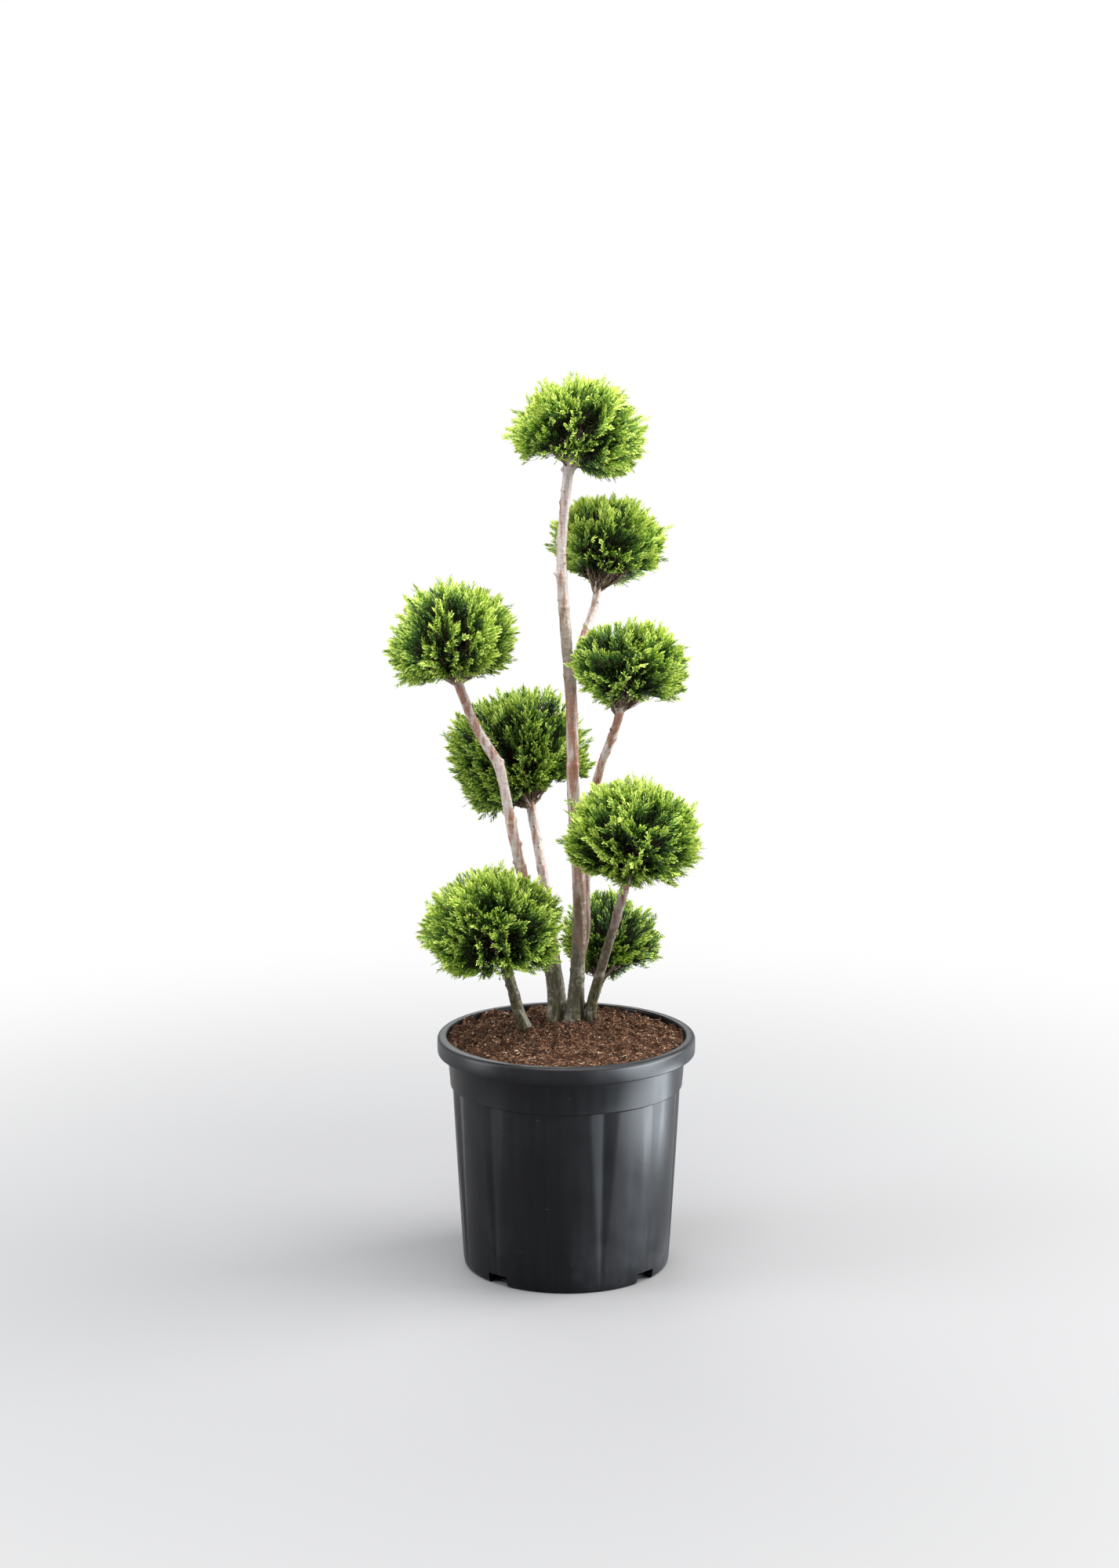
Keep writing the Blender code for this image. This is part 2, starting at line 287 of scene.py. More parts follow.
def plainFinish(name, colour, roughness, specular):
    # one even colour, as for a leaf too small to hold a pattern
    material = bpy.data.materials.new(name)
    material.use_nodes = True
    shader = material.node_tree.nodes["Principled BSDF"]
    shader.inputs["Base Color"].default_value = (*colour, 1.0)
    shader.inputs["Roughness"].default_value = roughness
    shader.inputs["Specular IOR Level"].default_value = specular
    return material


# Camera: the photo's own place, 3.7 m back at 1.3 m above the pot's foot

camera = dict(
    eye=(-0.896, -366.13, 129.84),      # cm
    pitch=6.992,                        # degrees down
    lens=65.16,                         # mm, on a 36 mm long side
    shift=-0.10,
)


def makeCamera():
    data = bpy.data.cameras.new("camera")
    data.lens = camera["lens"]
    data.sensor_width = 36.0
    data.shift_y = camera["shift"]
    data.clip_end = 50.0
    eye = bpy.data.objects.new("camera", data)
    eye.location = Vector(camera["eye"]) * cm
    eye.rotation_euler = (math.radians(90 - camera["pitch"]), 0, 0)
    bpy.context.scene.collection.objects.link(eye)
    bpy.context.scene.camera = eye


# Studio: a pale floor that fades to a white surround, soft lights from above and from both sides

studio = dict(
    floorRadius=9.0,                    # metres
    fade=(0.5, 1.9),                    # metres from the pot where the floor starts to whiten, and is white
    floorColour=(0.22, 0.22, 0.224),
    worldColour=(0.95, 0.97, 1.0),
    worldStrength=0.62,
    lights=[                            # name, place, size, watts, colour and the place that it points at
        ("key_right", (3.0, 0.3, 1.7), (2.6, 2.6), 235, (1.0, 0.99, 0.97), (0, 0, 0.6)),
        ("fill_left", (-2.9, -0.6, 1.8), (1.4, 2.2), 70, (0.97, 0.985, 1.0), (0, 0, 0.6)),
        ("top", (0.1, -0.5, 3.2), (2.6, 2.6), 185, (1.0, 1.0, 1.0), (0, 0, 0.6)),
        ("back", (-0.8, 3.0, 2.3), (2.6, 1.4), 62, (1.0, 1.0, 1.0), (0, 0, 0.6)),
    ],
    potLights=[                         # the same, for lamps that light only the pot
        ("pot_right", (1.45, -0.62, 0.20), (1.25, 0.9), 148, (0.84, 0.92, 1.0), (0, 0, 0.15)),
        ("collar_right", (0.55, -0.11, 0.07), (0.55, 0.10), 4.2, (0.84, 0.92, 1.0), (0.11, -0.11, 0.26)),
        ("pot_left", (-1.5, -0.30, 0.25), (0.5, 0.7), 18, (0.92, 0.96, 1.0), (0, 0, 0.15)),
    ],
)


def makeFloor():
    # a flat disc: pale near the pot, and as white as the surround further out
    around = levelWays(bearings(96))
    rings = np.array([0.001, 0.5, 1.0, 2.0, 4.0, studio["floorRadius"]])
    points = (rings[:, None, None] * around).reshape(-1, 3)
    paint = Graph("studio_floor")
    away = paint.node("VectorMath", {"operation": "LENGTH"}, {0: paint.coordinates}, "Value")
    share = paint.node("MapRange", {"interpolation_type": "SMOOTHSTEP"},
                       {0: away, 1: studio["fade"][0], 2: studio["fade"][1], 3: 0.0, 4: 1.0})
    colour = np.array(studio["floorColour"])
    cloud = paint.ramp(paint.noise(0.7, 2.0), [(0.3, colour * 0.985), (0.7, colour)])
    paint.finish(Base_Color=cloud, Roughness=0.85)
    white = paint.node("Emission", None, {"Color": (1.0, 1.0, 1.0, 1.0), "Strength": 1.0})
    shown = paint.node("MixShader", None, {0: share, 1: Wire(paint, paint.shader.outputs[0]), 2: white})
    paint.feed(paint.tree.nodes["Material Output"].inputs["Surface"], shown)
    faces = gridFaces(len(rings), len(around))[:, ::-1]
    floor = meshPiece("studio_floor", points, faces, [paint.material])


def makeSurround():
    # the camera sees a white surround, while the plant is lit by a dimmer one
    world = bpy.data.worlds.new("studio")
    world.use_nodes = True
    tree = world.node_tree
    lit = tree.nodes["Background"]
    lit.inputs["Color"].default_value = (*studio["worldColour"], 1)
    lit.inputs["Strength"].default_value = studio["worldStrength"]
    seen = tree.nodes.new("ShaderNodeBackground")
    seen.inputs["Color"].default_value = (1.0, 1.0, 1.0, 1)
    chosen = tree.nodes.new("ShaderNodeMixShader")
    tree.links.new(tree.nodes.new("ShaderNodeLightPath").outputs["Is Camera Ray"], chosen.inputs[0])
    tree.links.new(lit.outputs[0], chosen.inputs[1])
    tree.links.new(seen.outputs[0], chosen.inputs[2])
    tree.links.new(chosen.outputs[0], tree.nodes["World Output"].inputs["Surface"])
    bpy.context.scene.world = world


def makeLight(name, where, size, watts, colour, aim):
    data = bpy.data.lights.new(name, "AREA")
    data.shape = "RECTANGLE"
    data.size, data.size_y = size
    data.energy = watts
    data.color = colour
    lamp = bpy.data.objects.new(name, data)
    lamp.location = where
    lamp.rotation_euler = (Vector(aim) - Vector(where)).to_track_quat("-Z", "Y").to_euler()
    lamp.visible_camera = False
    bpy.context.scene.collection.objects.link(lamp)
    return lamp


def makeLights():
    # every lamp, and the collection of what the pot's own lamps light
    for light in studio["lights"]:
        makeLight(*light)
    potOnly = bpy.data.collections.new("pot_only")
    for light in studio["potLights"]:
        makeLight(*light).light_linking.receiver_collection = potOnly
    return potOnly


bpy.context.scene.view_settings.view_transform = "Standard"
makeCamera()
makeFloor()
makeSurround()
potOnly = makeLights()
print("camera and studio in place")


# Pot: a turned wall with rolled rim, collar, step and tapering V flutes, cut by four notches

pot = dict(                                     # lengths in cm, bearings in degrees
    height=30.8, rim=17.05, rimInside=15.75, rimDepth=2.3, roll=0.55,
    collar=(15.7, 15.35), step=24.4,            # its radius at top and foot, and its foot's height
    body=(15.05, 13.6), bodyTop=24.05,          # its radius at top and foot, and its top's height
    swell=0.9, floor=0.4, wall=0.30, footRound=0.5,
    flutes=12, fluteStart=19.0, fluteHalfWidth=8.0, fluteDepth=0.34,
    notches=(-131.0, -41.0, 49.0, 139.0),
    notchSize=(3.1, 2.6, 1.4),                  # width, depth and height
    around=360,
)


def arc(centre, radius, start, end, count):
    # points on a circle in the half section, angles in degrees from straight out
    turn = np.radians(np.linspace(start, end, count))
    return [(centre[0] + radius * math.cos(a), centre[1] + radius * math.sin(a)) for a in turn]


def bodyRadius(share):
    # the wall's radius at a share of its height: from foot to step, a little fuller than a straight cone
    foot, step = pot["body"][1], pot["body"][0]
    return foot + (step - foot) * np.clip(share, 0, 1) ** pot["swell"]


def potProfile():
    # the half section as (radius, height): up the outside from the foot, over the rim, down the inside
    rim, top, roll = pot["rim"], pot["height"], pot["roll"]
    band = top - pot["rimDepth"]
    foot = pot["footRound"]
    shares = np.linspace(0.035, 1.0, 26)
    outside = arc((bodyRadius(0.0) - foot, foot), foot, -90, -2, 6)
    outside += [(float(bodyRadius(s)), pot["bodyTop"] * s) for s in shares]
    outside += arc((pot["collar"][1] - 0.12, pot["step"] - 0.10), 0.12, -60, 0, 4)
    outside += [(pot["collar"][1], pot["step"]), (pot["collar"][0] - 0.02, band - 0.12)]
    outside += arc((pot["collar"][0] + 0.10, band - 0.12), 0.12, 180, 90, 4)
    outside += arc((rim - 0.22, band + 0.18), 0.18, -90, 0, 5)
    outside += [(rim, band + 0.9)]
    outside += arc((rim - roll, top - roll), roll, 0, 90, 9)
    outside += arc((pot["rimInside"] + 0.30, top - 0.30), 0.30, 90, 180, 7)
    wall = pot["wall"]
    inside = [(pot["rimInside"] - 0.10, band), (pot["collar"][1] - wall, pot["step"] + 0.6),
              (pot["body"][0] - wall - 0.2, pot["bodyTop"] - 0.4)]
    inside += [(float(bodyRadius(s)) - wall - 0.2, pot["bodyTop"] * s) for s in (0.6, 0.3, 0.05)]
    inside += [(pot["body"][1] - wall - 0.6, pot["floor"])]
    return np.array([(0.0001, 0.0)] + outside + inside + [(0.0001, pot["floor"])])


def fluteDepth(bearing, height, radius):
    # depth of the V grooves, in cm: widest and deepest under the step, gone at the foot
    share = np.clip(height / pot["bodyTop"], 0, 1)
    spacing = 360 / pot["flutes"]
    offset = np.abs((bearing - pot["fluteStart"] + spacing / 2) % spacing - spacing / 2)
    width = pot["fluteHalfWidth"] * (0.12 + 0.88 * share)
    shape = np.clip(1 - offset / width, 0, 1)
    soft = np.where(shape > 0, np.sqrt(shape ** 2 + 0.0016) - 0.04, 0)
    onBody = (height <= pot["bodyTop"] + 0.01) & (height > 0.4) & (radius > bodyRadius(share) - 0.05)
    return pot["fluteDepth"] * np.sqrt(share) * soft * onBody


def potMesh():
    # the half section turned round, less the flutes
    profile = potProfile()
    turn = bearings(pot["around"])
    radius, height = [np.repeat(profile[:, k], len(turn)) for k in (0, 1)]
    angle = np.tile(turn, len(profile))
    radius = radius - fluteDepth(np.degrees(angle) + 90, height, radius)
    points = radius[:, None] * levelWays(angle) + height[:, None] * up
    return points * cm, gridFaces(len(profile), len(turn))


def cutNotches(piece):
    # drainage notches through the wall and the edge of the floor
    width, deep, tall = pot["notchSize"]
    turns = np.radians(pot["notches"])
    box = boxCorners * [width / 2, deep / 2, tall] + [0, 0.1 - pot["body"][1], 0]
    boxes = turnAbout(np.tile(box, (len(turns), 1)), up, np.repeat(turns, len(box)))
    cutter = meshPiece("notch_cutter", boxes * cm, copies(boxFaces, len(turns), len(box)), [])
    modifier = piece.modifiers.new("notches", "BOOLEAN")
    modifier.operation = "DIFFERENCE"
    modifier.solver = "EXACT"
    modifier.object = cutter
    view = bpy.context.evaluated_depsgraph_get()
    mesh = bpy.data.meshes.new_from_object(piece.evaluated_get(view))
    piece.modifiers.clear()
    piece.data = mesh
    bpy.data.objects.remove(cutter)
    mesh.shade_smooth()
    mesh.set_sharp_from_angle(angle=math.radians(32))


def potFinish():
    # satin black plastic: faint upright brushing, dust low down, a grey film on the rim that is partly dust
    # and partly a painted sheen, a few pale scuffs
    g = Graph("pot_plastic")
    dust = g.noise(9.0, 5.0, 0.6)
    streaks = g.noise((90.0, 90.0, 5.0), 3.0, 0.6)
    grain = g.noise(900.0, 2.0, 0.6)
    height = g.node("SeparateXYZ", None, {0: g.coordinates}, 2)
    low = g.between(height, 0.78, 0.08, 0.0, 0.10)
    # the rim's grey film is a painted sheen as well as dust
    rim = g.between(height, 0.0, 1.0, 0.283, 0.300)
    dustAndRimSheen = g.between(dust, 0.0, 0.25, 0.50, 0.80) * low + rim * g.between(dust, 0.01, 0.14, 0.3, 0.7)
    scuffs = g.between(g.noise((60.0, 60.0, 260.0), 2.0, 0.5), 0.0, 0.35, 0.765, 0.79)
    black = g.ramp(streaks, [(0.3, (0.0014, 0.0015, 0.0018)), (0.7, (0.0028, 0.0030, 0.0036))])
    colour = g.coats(black, (dustAndRimSheen, (0.090, 0.091, 0.096)), (scuffs, (0.14, 0.14, 0.15)))
    rough = g.between(streaks, 0.30, 0.36, 0.3, 0.7) + g.between(dust, 0.0, 0.10, 0.4, 0.7)
    relief = g.bump(streaks * 0.6 + grain * 0.25, 0.00035, 0.5)
    return g.finish(Base_Color=colour, Roughness=rough, Normal=relief, Specular_IOR_Level=0.17)


def makePot():
    points, faces = potMesh()
    piece = meshPiece("pot_shell", points, faces, [potFinish()], smooth=True)
    cutNotches(piece)
    place(piece, "pot", "pot")
    potOnly.objects.link(piece)


makePot()
print("pot made")


# Limbs: the same bends as the CAD solids, in cm. thick is the width at the foot and at the tip, russet and
# olive are shares of those colours by height, marks are (height, bearing, size, dark), ledges are heights.

limbs = {
    "trunk": dict(
        bends=[(0.95, 4.7, 31.2), (1.35, 4.8, 35.5), (1.8, 5.0, 47.5), (0.95, 5.0, 62.0),
               (0.7, 5.0, 74.0), (0.05, 5.0, 82.0), (-0.65, 5.1, 93.0), (-0.15, 5.3, 101.0),
               (0.5, 5.5, 106.6)],
        thick=(2.0, 1.2), flare=0.9, collar=0.95, ball="foliage_top",
        russet=[(31, 0.1), (40, 0.6), (45, 1.0), (50, 0.7), (62, 0.65), (74, 0.8), (78, 0.5), (91, 0.3),
                (91.6, 0.0), (106, 0.1)],
        olive=[(72, 0.0), (79, 0.65), (86, 0.5), (90.8, 0.35), (91.5, 0.0)],
        marks=[(105.5, 5, 0.40, 0), (105.0, 185, 0.34, 0), (102.2, 245, 0.08, 1), (100.7, 185, 0.16, 0),
               (95.7, 180, 0.18, 0), (91.5, 180, 0.34, 1), (87.0, 275, 0.10, 1), (78.0, 350, 0.16, 0),
               (38.2, 180, 0.12, 1), (40.6, 175, 0.12, 1)],
        ledges=[91.2, 87.0, 78.0, 66.0, 54.5]),
    "stem_front_left": dict(
        bends=[(-5.25, -0.4, 31.2), (-6.3, -0.9, 34.0), (-7.05, -1.7, 37.2), (-8.2, -3.1, 41.6)],
        thick=(1.52, 1.25), flare=0.25, collar=0.2, ball="foliage_lower_left",
        russet=[(31, 0.0), (42, 0.25)], marks=[(38.0, 185, 0.14, 1), (35.4, 300, 0.10, 1)], ledges=[36.6]),
    "stem_left": dict(
        bends=[(-1.6, 4.6, 31.2), (-2.1, 4.7, 38.0), (-5.5, 4.5, 50.0), (-7.2, 4.3, 57.5),
               (-8.4, 4.0, 64.0), (-9.2, 3.9, 66.6), (-12.0, 3.5, 71.5), (-14.5, 3.0, 77.9)],
        thick=(1.62, 1.2), flare=0.25, collar=0.15, ball="foliage_left",
        russet=[(31, 0.3), (50, 0.8), (57, 0.65), (60, 0.25), (66, 0.2), (72, 0.5), (78, 0.35)],
        marks=[(66.4, 0, 0.34, 0), (58.6, 0, 0.26, 0), (55.3, 5, 0.24, 0), (53.1, 195, 0.22, 1),
               (69.4, 350, 0.12, 0)],
        ledges=[66.0, 58.4, 52.4]),
    "stem_middle_left": dict(
        bends=[(-0.35, 7.4, 31.2), (-1.35, 8.4, 38.0), (-2.9, 10.0, 48.5), (-4.3, 11.5, 56.5),
               (-5.1, 12.4, 60.8)],
        thick=(1.34, 1.2), flare=0.2, collar=0.6, ball="foliage_middle_left",
        russet=[(31, 0.2), (44, 0.3), (52, 0.05), (58, 0.1), (61, 0.5)],
        marks=[(56.4, 262, 0.10, 1), (53.6, 275, 0.10, 1), (51.6, 268, 0.12, 1), (54.6, 350, 0.12, 0)],
        ledges=[57.4, 51.2]),
    "stem_front_right": dict(
        bends=[(3.3, 4.5, 31.2), (3.55, 4.1, 34.4), (4.95, 2.5, 40.0), (6.3, 0.6, 45.2),
               (8.1, -2.5, 52.6)],
        thick=(1.34, 1.1), flare=0.25, collar=0.1, ball="foliage_lower_right",
        russet=[(31, 0.1), (36, 0.4), (52, 0.5)], marks=[(41.5, 170, 0.12, 1), (46.3, 10, 0.12, 0)],
        ledges=[38.0, 47.0]),
    "stem_back_right": dict(
        bends=[(3.0, 7.7, 31.2), (3.7, 9.4, 33.0), (5.0, 12.0, 36.2)],
        thick=(1.15, 1.05), flare=0.2, collar=0.3, ball="foliage_back_right",
        russet=[(31, 0.4), (36, 0.9)], marks=[], ledges=[34.0]),
    "bough_right": dict(
        bends=[(1.8, 5.5, 38.8), (2.7, 6.35, 43.5), (2.65, 6.2, 50.5), (3.0, 5.4, 58.0),
               (4.45, 3.9, 65.5), (6.6, 2.2, 71.8), (7.2, 1.5, 75.3)],
        thick=(1.06, 1.1), flare=0.0, collar=0.35, ball="foliage_right",
        russet=[(38, 0.1), (50, 0.3), (60, 1.0), (67, 0.7), (70, 0.45), (76, 0.35)],
        marks=[(71.0, 200, 0.14, 1), (68.0, 10, 0.12, 0), (64.0, 190, 0.12, 0)], ledges=[70.2, 63.4]),
    "bough_upper_right": dict(
        bends=[(0.4, 5.2, 75.6), (1.15, 6.2, 78.4), (2.1, 8.2, 82.2), (3.7, 10.8, 86.4),
               (4.4, 12.2, 90.0)],
        thick=(0.95, 0.9), flare=0.0, collar=0.25, ball="foliage_upper_right",
        russet=[(76, 0.3), (90, 0.55)], marks=[(84.0, 200, 0.12, 0), (86.4, 10, 0.10, 1)], ledges=[82.0]),
}
mossyWeb = dict(                        # the low web that joins stem_middle_left to the trunk at the soil
    bends=[(0.05, 6.2, 30.4), (0.0, 6.2, 31.6), (-0.1, 6.3, 32.5), (-0.2, 6.4, 33.4)],
    thick=(3.6, 1.5), flare=0.0, collar=0.0, russet=[(31, 0.0), (34, 0.0)], marks=[], ledges=[32.4])
bark = dict(
    soilTop=31.2, flareHeight=2.2, collarHeight=1.3,
    perCm=6.0, round=44,            # rings for each cm of limb, points round it
    bury=0.8,                       # cm that a foot goes on down into the soil
    lobes=0.10, lobeHeight=3.0,     # how far a foot is lobed, and the cm over which that fades
    ridges=0.035, warts=0.0125,     # a share of the radius, and cm
    rings=0.020, ringsPerCm=2.2,    # cm that a lenticel ring stands out, and how many there are
    ringWidth=0.10, ringReach=(0.6, 2.4),       # cm of height, and radians that a ring reaches round
    ledge=0.055, ledgeWidth=0.16,   # cm
    markWidth=0.16, darkWidth=(0.13, 0.17),     # cm, beside what a mark's size adds, and of its dark spot
    tipDome=0.35,                   # cm
    scarEvery=1.55, scarSize=(0.04, 0.13), darkScars=0.4,   # cm between scars of side twigs, cm, share
    streak=0.46,                    # how far the red-brown and silver streaks stray from a limb's own share
)


def limbWidth(limb, height, along):
    # diameter in cm: an even taper, a flare near the ground and a collar at the tip
    low, high = limb["thick"]
    flare = limb["flare"] * np.exp(-np.maximum(0, height - bark["soilTop"]) / bark["flareHeight"])
    collar = limb["collar"] * np.exp(-np.maximum(0, limb["bends"][-1][2] - height) / bark["collarHeight"])
    return low + (high - low) * along + flare + collar


def limbMesh(limb, seed):
    # a tube along the bends whose radius carries ridges, lenticel rings, ledges, twig scars and warts
    rng = np.random.default_rng(seed)
    bends, count = np.array(limb["bends"]), bark["round"]
    if limb["flare"]:
        bends = np.vstack([bends[0] - unit(bends[1] - bends[0]) * bark["bury"], bends])
    length = np.linalg.norm(np.diff(bends, axis=0), axis=1).sum()
    rows = int(length * bark["perCm"])
    line = smoothPath(bends, rows)
    tangent, side, other = pathFrames(line)
    s, height = np.linspace(0, length, rows)[:, None], line[:, 2:3]
    angle = bearings(count)[None]
    facing = sweep(side[:, None], other[:, None], angle)
    radius = 0.5 * limbWidth(limb, height, s / length) * np.ones_like(angle)
    ridge = np.sin(5 * angle + 0.35 * s + 2 * np.sin(0.21 * s)) * np.sin(0.9 * s + 3 * angle)
    foot = np.exp(-np.maximum(0, height - bark["soilTop"]) / bark["lobeHeight"]) * bool(limb["flare"])
    radius *= 1 + bark["ridges"] * ridge + bark["lobes"] * foot * np.cos(4 * angle + seed)
    for at in rng.uniform(0.5, length - 0.3, int(length * bark["ringsPerCm"])):
        away = turnBetween(angle, rng.uniform(0, fullTurn))
        reach = rng.uniform(*bark["ringReach"])
        radius += bark["rings"] * hump(s - at, bark["ringWidth"]) * np.exp(-(away / reach) ** 4)
    for at in limb["ledges"]:
        above = height - at
        radius += bark["ledge"] * (hump(above, bark["ledgeWidth"]) + 0.7 * hump(above + 0.4, 0.5))
    spots = np.arange(rng.uniform(1, 2), length - 0.8, bark["scarEvery"])
    spots += rng.uniform(-0.4, 0.4, len(spots))
    marks = [(line[int(at / length * (rows - 1)), 2], rng.uniform(0, 360), rng.uniform(*bark["scarSize"]),
              rng.uniform() < bark["darkScars"]) for at in spots]
    bearing = np.arctan2(facing[..., 1], facing[..., 0])
    scar = np.zeros_like(radius)
    for at, turn, size, dark in limb["marks"] + marks:
        away = turnBetween(bearing, math.radians(turn))
        tall, wide = bark["markWidth"] + 0.5 * size, bark["markWidth"] + 0.6 * size
        radius += size * hump(height - at, tall) * hump(away * radius.mean(), wide)
        tall, wide = bark["darkWidth"]
        scar += dark * hump(height - at, tall) * hump(away * radius.mean(), wide)
    points = (line[:, None] + radius[..., None] * facing).reshape(-1, 3)
    rough = waves(points, seed + 5, 14, 0.55) + waves(points, seed + 9, 14, 1.6)
    points += unit(points - np.repeat(line, count, axis=0)) * (bark["warts"] * rough)[:, None]
    points = np.vstack([points, line[:1], line[-1:] + tangent[-1:] * bark["tipDome"]])
    faces = [gridFaces(rows, count), hubFaces(0, count, len(points) - 2)[:, [1, 0, 2]],
             hubFaces((rows - 1) * count, count, len(points) - 1)]
    streaks = waves(points * [1, 1, 0.12], seed + 3, 16, 0.9)
    streaks += 0.6 * waves(points * [1, 1, 0.3], seed + 4, 16, 2.0)
    russet = np.interp(points[:, 2], *zip(*limb["russet"])) + bark["streak"] * streaks
    olive = np.interp(points[:, 2], *zip(*limb.get("olive", [(0, 0)])))
    return points * cm, faces, {"russet": russet, "olive": olive, "scar": np.append(scar, [0, 0])}


def barkFinish():
    # thin bark: silver-pink or red-brown in streaks, grey-green at the foot, with level rings and dark scars
    g = Graph("cypress_bark")
    height = g.node("SeparateXYZ", None, {0: g.coordinates}, 2)
    russet, olive, scar = [g.node("Attribute", {"attribute_name": kind}, output=2)
                           for kind in ("russet", "olive", "scar")]
    broad = g.noise(22.0, 4.0, 0.6)
    rings = g.noise((170.0, 170.0, 520.0), 5.0, 0.62)
    flakes = g.noise((420.0, 420.0, 110.0), 4.0, 0.6)
    veins = g.noise((260.0, 260.0, 20.0), 3.0, 0.6)
    speck = g.noise(1300.0, 2.0, 0.6)
    silver = g.ramp(rings, [(0.26, (0.30, 0.240, 0.212)), (0.46, (0.43, 0.363, 0.335)),
                            (0.70, (0.57, 0.505, 0.48))])
    brown = g.ramp(rings, [(0.26, (0.180, 0.072, 0.041)), (0.48, (0.27, 0.120, 0.076)),
                           (0.74, (0.38, 0.205, 0.145))])
    mossy = g.ramp(flakes, [(0.34, (0.032, 0.031, 0.014)), (0.50, (0.064, 0.060, 0.027)),
                            (0.68, (0.165, 0.152, 0.090))])
    cracks = g.between(speck, 0.5, 0.0, 0.30, 0.42) + g.between(flakes, 0.7, 0.0, 0.28, 0.41)
    colour = g.coats(
        silver,
        (g.between(russet + broad * 0.3, 0.0, 1.0, 0.40, 0.90), brown),
        (g.between(veins, 0.0, 0.36, 0.52, 0.68), (0.22, 0.105, 0.066)),
        (g.between(veins, 0.34, 0.0, 0.32, 0.46), (0.57, 0.49, 0.44)),
        (olive * g.between(broad, 0.6, 1.3, 0.35, 0.6), (0.17, 0.145, 0.105)),
        (g.between(height + broad * 0.1, 0.72, 0.0, 0.49, 0.61), (0.105, 0.062, 0.040)),
        (g.between(height + broad * 0.24, 1.0, 0.0, 0.485, 0.61), mossy),
        (g.between(g.noise(70.0, 4.0, 0.65), 0.0, 0.45, 0.54, 0.68), (0.50, 0.47, 0.40)),
        (cracks, (0.060, 0.036, 0.024)),
        (g.between(scar, 0.0, 0.8, 0.12, 0.45), (0.165, 0.150, 0.100)),
        (g.between(scar, 0.0, 1.0, 0.5, 0.75), (0.018, 0.012, 0.008)))
    relief = g.bump(rings * 0.35 + flakes * 0.7 + speck * 0.2, 0.0012, 0.6)
    return g.finish(Base_Color=colour, Roughness=g.between(flakes, 0.30, 0.54), Normal=relief,
                    Specular_IOR_Level=0.5)


def makeLimbs():
    finish = barkFinish()
    for number, (name, limb) in enumerate([*limbs.items(), ("mossy_web", mossyWeb)]):
        points, faces, marks = limbMesh(limb, 11 + 7 * number)
        piece = meshPiece(name + "_bark", points, faces, [finish], smooth=True)
        for kind, values in marks.items():
            layer = piece.data.attributes.new(kind, "FLOAT", "POINT")
            layer.data.foreach_set("value", np.ascontiguousarray(values, dtype=np.float32))
        place(piece, "bark", *([name] if name in limbs else []))


makeLimbs()
print("limbs made")


# Soil: a low mound of loose shredded bark, with chips and fibres lying on it

soil = dict(
    top=31.2, edge=30.15, level=5.0, radius=15.62, skirt=2.5,      # cm
    rings=130, around=320, seed=5,
    tilt=0.22, roll=0.5,        # radians, the spreads of how what lies on it is tilted and rolled
    lumps=[(0.32, 31, 12, 4.2), (0.288, 35, 14, 2.0),       # cm high, seed, number of waves, cm between them
           (0.204, 33, 16, 1.0), (0.1428, 37, 16, 0.5)],
    # what lies on it: how many, cm long, wide and thick, cm off the soil, and the odds of each tone
    loose=[("soil_chips", 9000, (0.14, 0.55), (0.08, 0.24), (0.06, 0.16), (-0.06, 0.06),
            [0.07, 0.22, 0.36, 0.27, 0.06, 0.02]),
           ("soil_fibres", 2300, (0.4, 1.3), (0.034, 0.0612), (0.02, 0.05), (0.0, 0.12),
            [0.10, 0.18, 0.32, 0.24, 0.11, 0.05])],
    tones=[("chip_black", (0.016, 0.009, 0.006), 0.9, 0.2),         # colour, roughness, specular
           ("chip_dark", (0.062, 0.029, 0.016), 0.9, 0.2),
           ("chip_russet", (0.185, 0.086, 0.042), 0.85, 0.25),
           ("chip_brown", (0.230, 0.122, 0.071), 0.85, 0.25),
           ("chip_tan", (0.330, 0.215, 0.140), 0.8, 0.3),
           ("chip_straw", (0.600, 0.480, 0.330), 0.75, 0.3)],
)


def soilHeight(flat):
    # a cosine mound from the level middle to the edge, with lumps and crumbs, at points of no height
    away = np.hypot(flat[:, 0], flat[:, 1]) - soil["level"]
    share = np.clip(away / (soil["radius"] - soil["level"]), 0, 1)
    mound = soil["edge"] + (soil["top"] - soil["edge"]) * (0.5 + 0.5 * np.cos(math.pi * share))
    return mound + sum(size * waves(flat, *wave) for size, *wave in soil["lumps"]) - 0.06


def soilBed():
    # rings of points, closer together further out, with a skirt down the pot's wall and a hub in the middle
    ringAt = np.sqrt(np.linspace(0.0, 1.0, soil["rings"])) * soil["radius"]
    ringAt[0] = 0.02
    flat = (ringAt[:, None, None] * levelWays(bearings(soil["around"]))).reshape(-1, 3)
    flat = np.vstack([flat, flat[-soil["around"]:], [[0, 0, 0]]])
    height = soilHeight(flat)
    height[-soil["around"] - 1:-1] = soil["edge"] - soil["skirt"]
    faces = gridFaces(soil["rings"] + 1, soil["around"])[:, ::-1]
    return (flat + height[:, None] * up) * cm, [faces, hubFaces(0, soil["around"], len(flat) - 1)]


def chipShapes(rng, count, *ranges):
    # long splinters: boxes of random length, width and thickness, their corners drawn in askew
    size = np.stack([rng.uniform(*each, count) for each in ranges], 1)
    shape = boxCorners[None] * size[:, None] / 2
    shape[..., 1] *= rng.uniform(0.35, 1.0, (count, 8))
    shape[..., 0] *= rng.uniform(0.7, 1.0, (count, 8))
    shape[..., 2] += 0.06 * size[:, :1] * rng.uniform(-1, 1, (count, 1))
    return shape


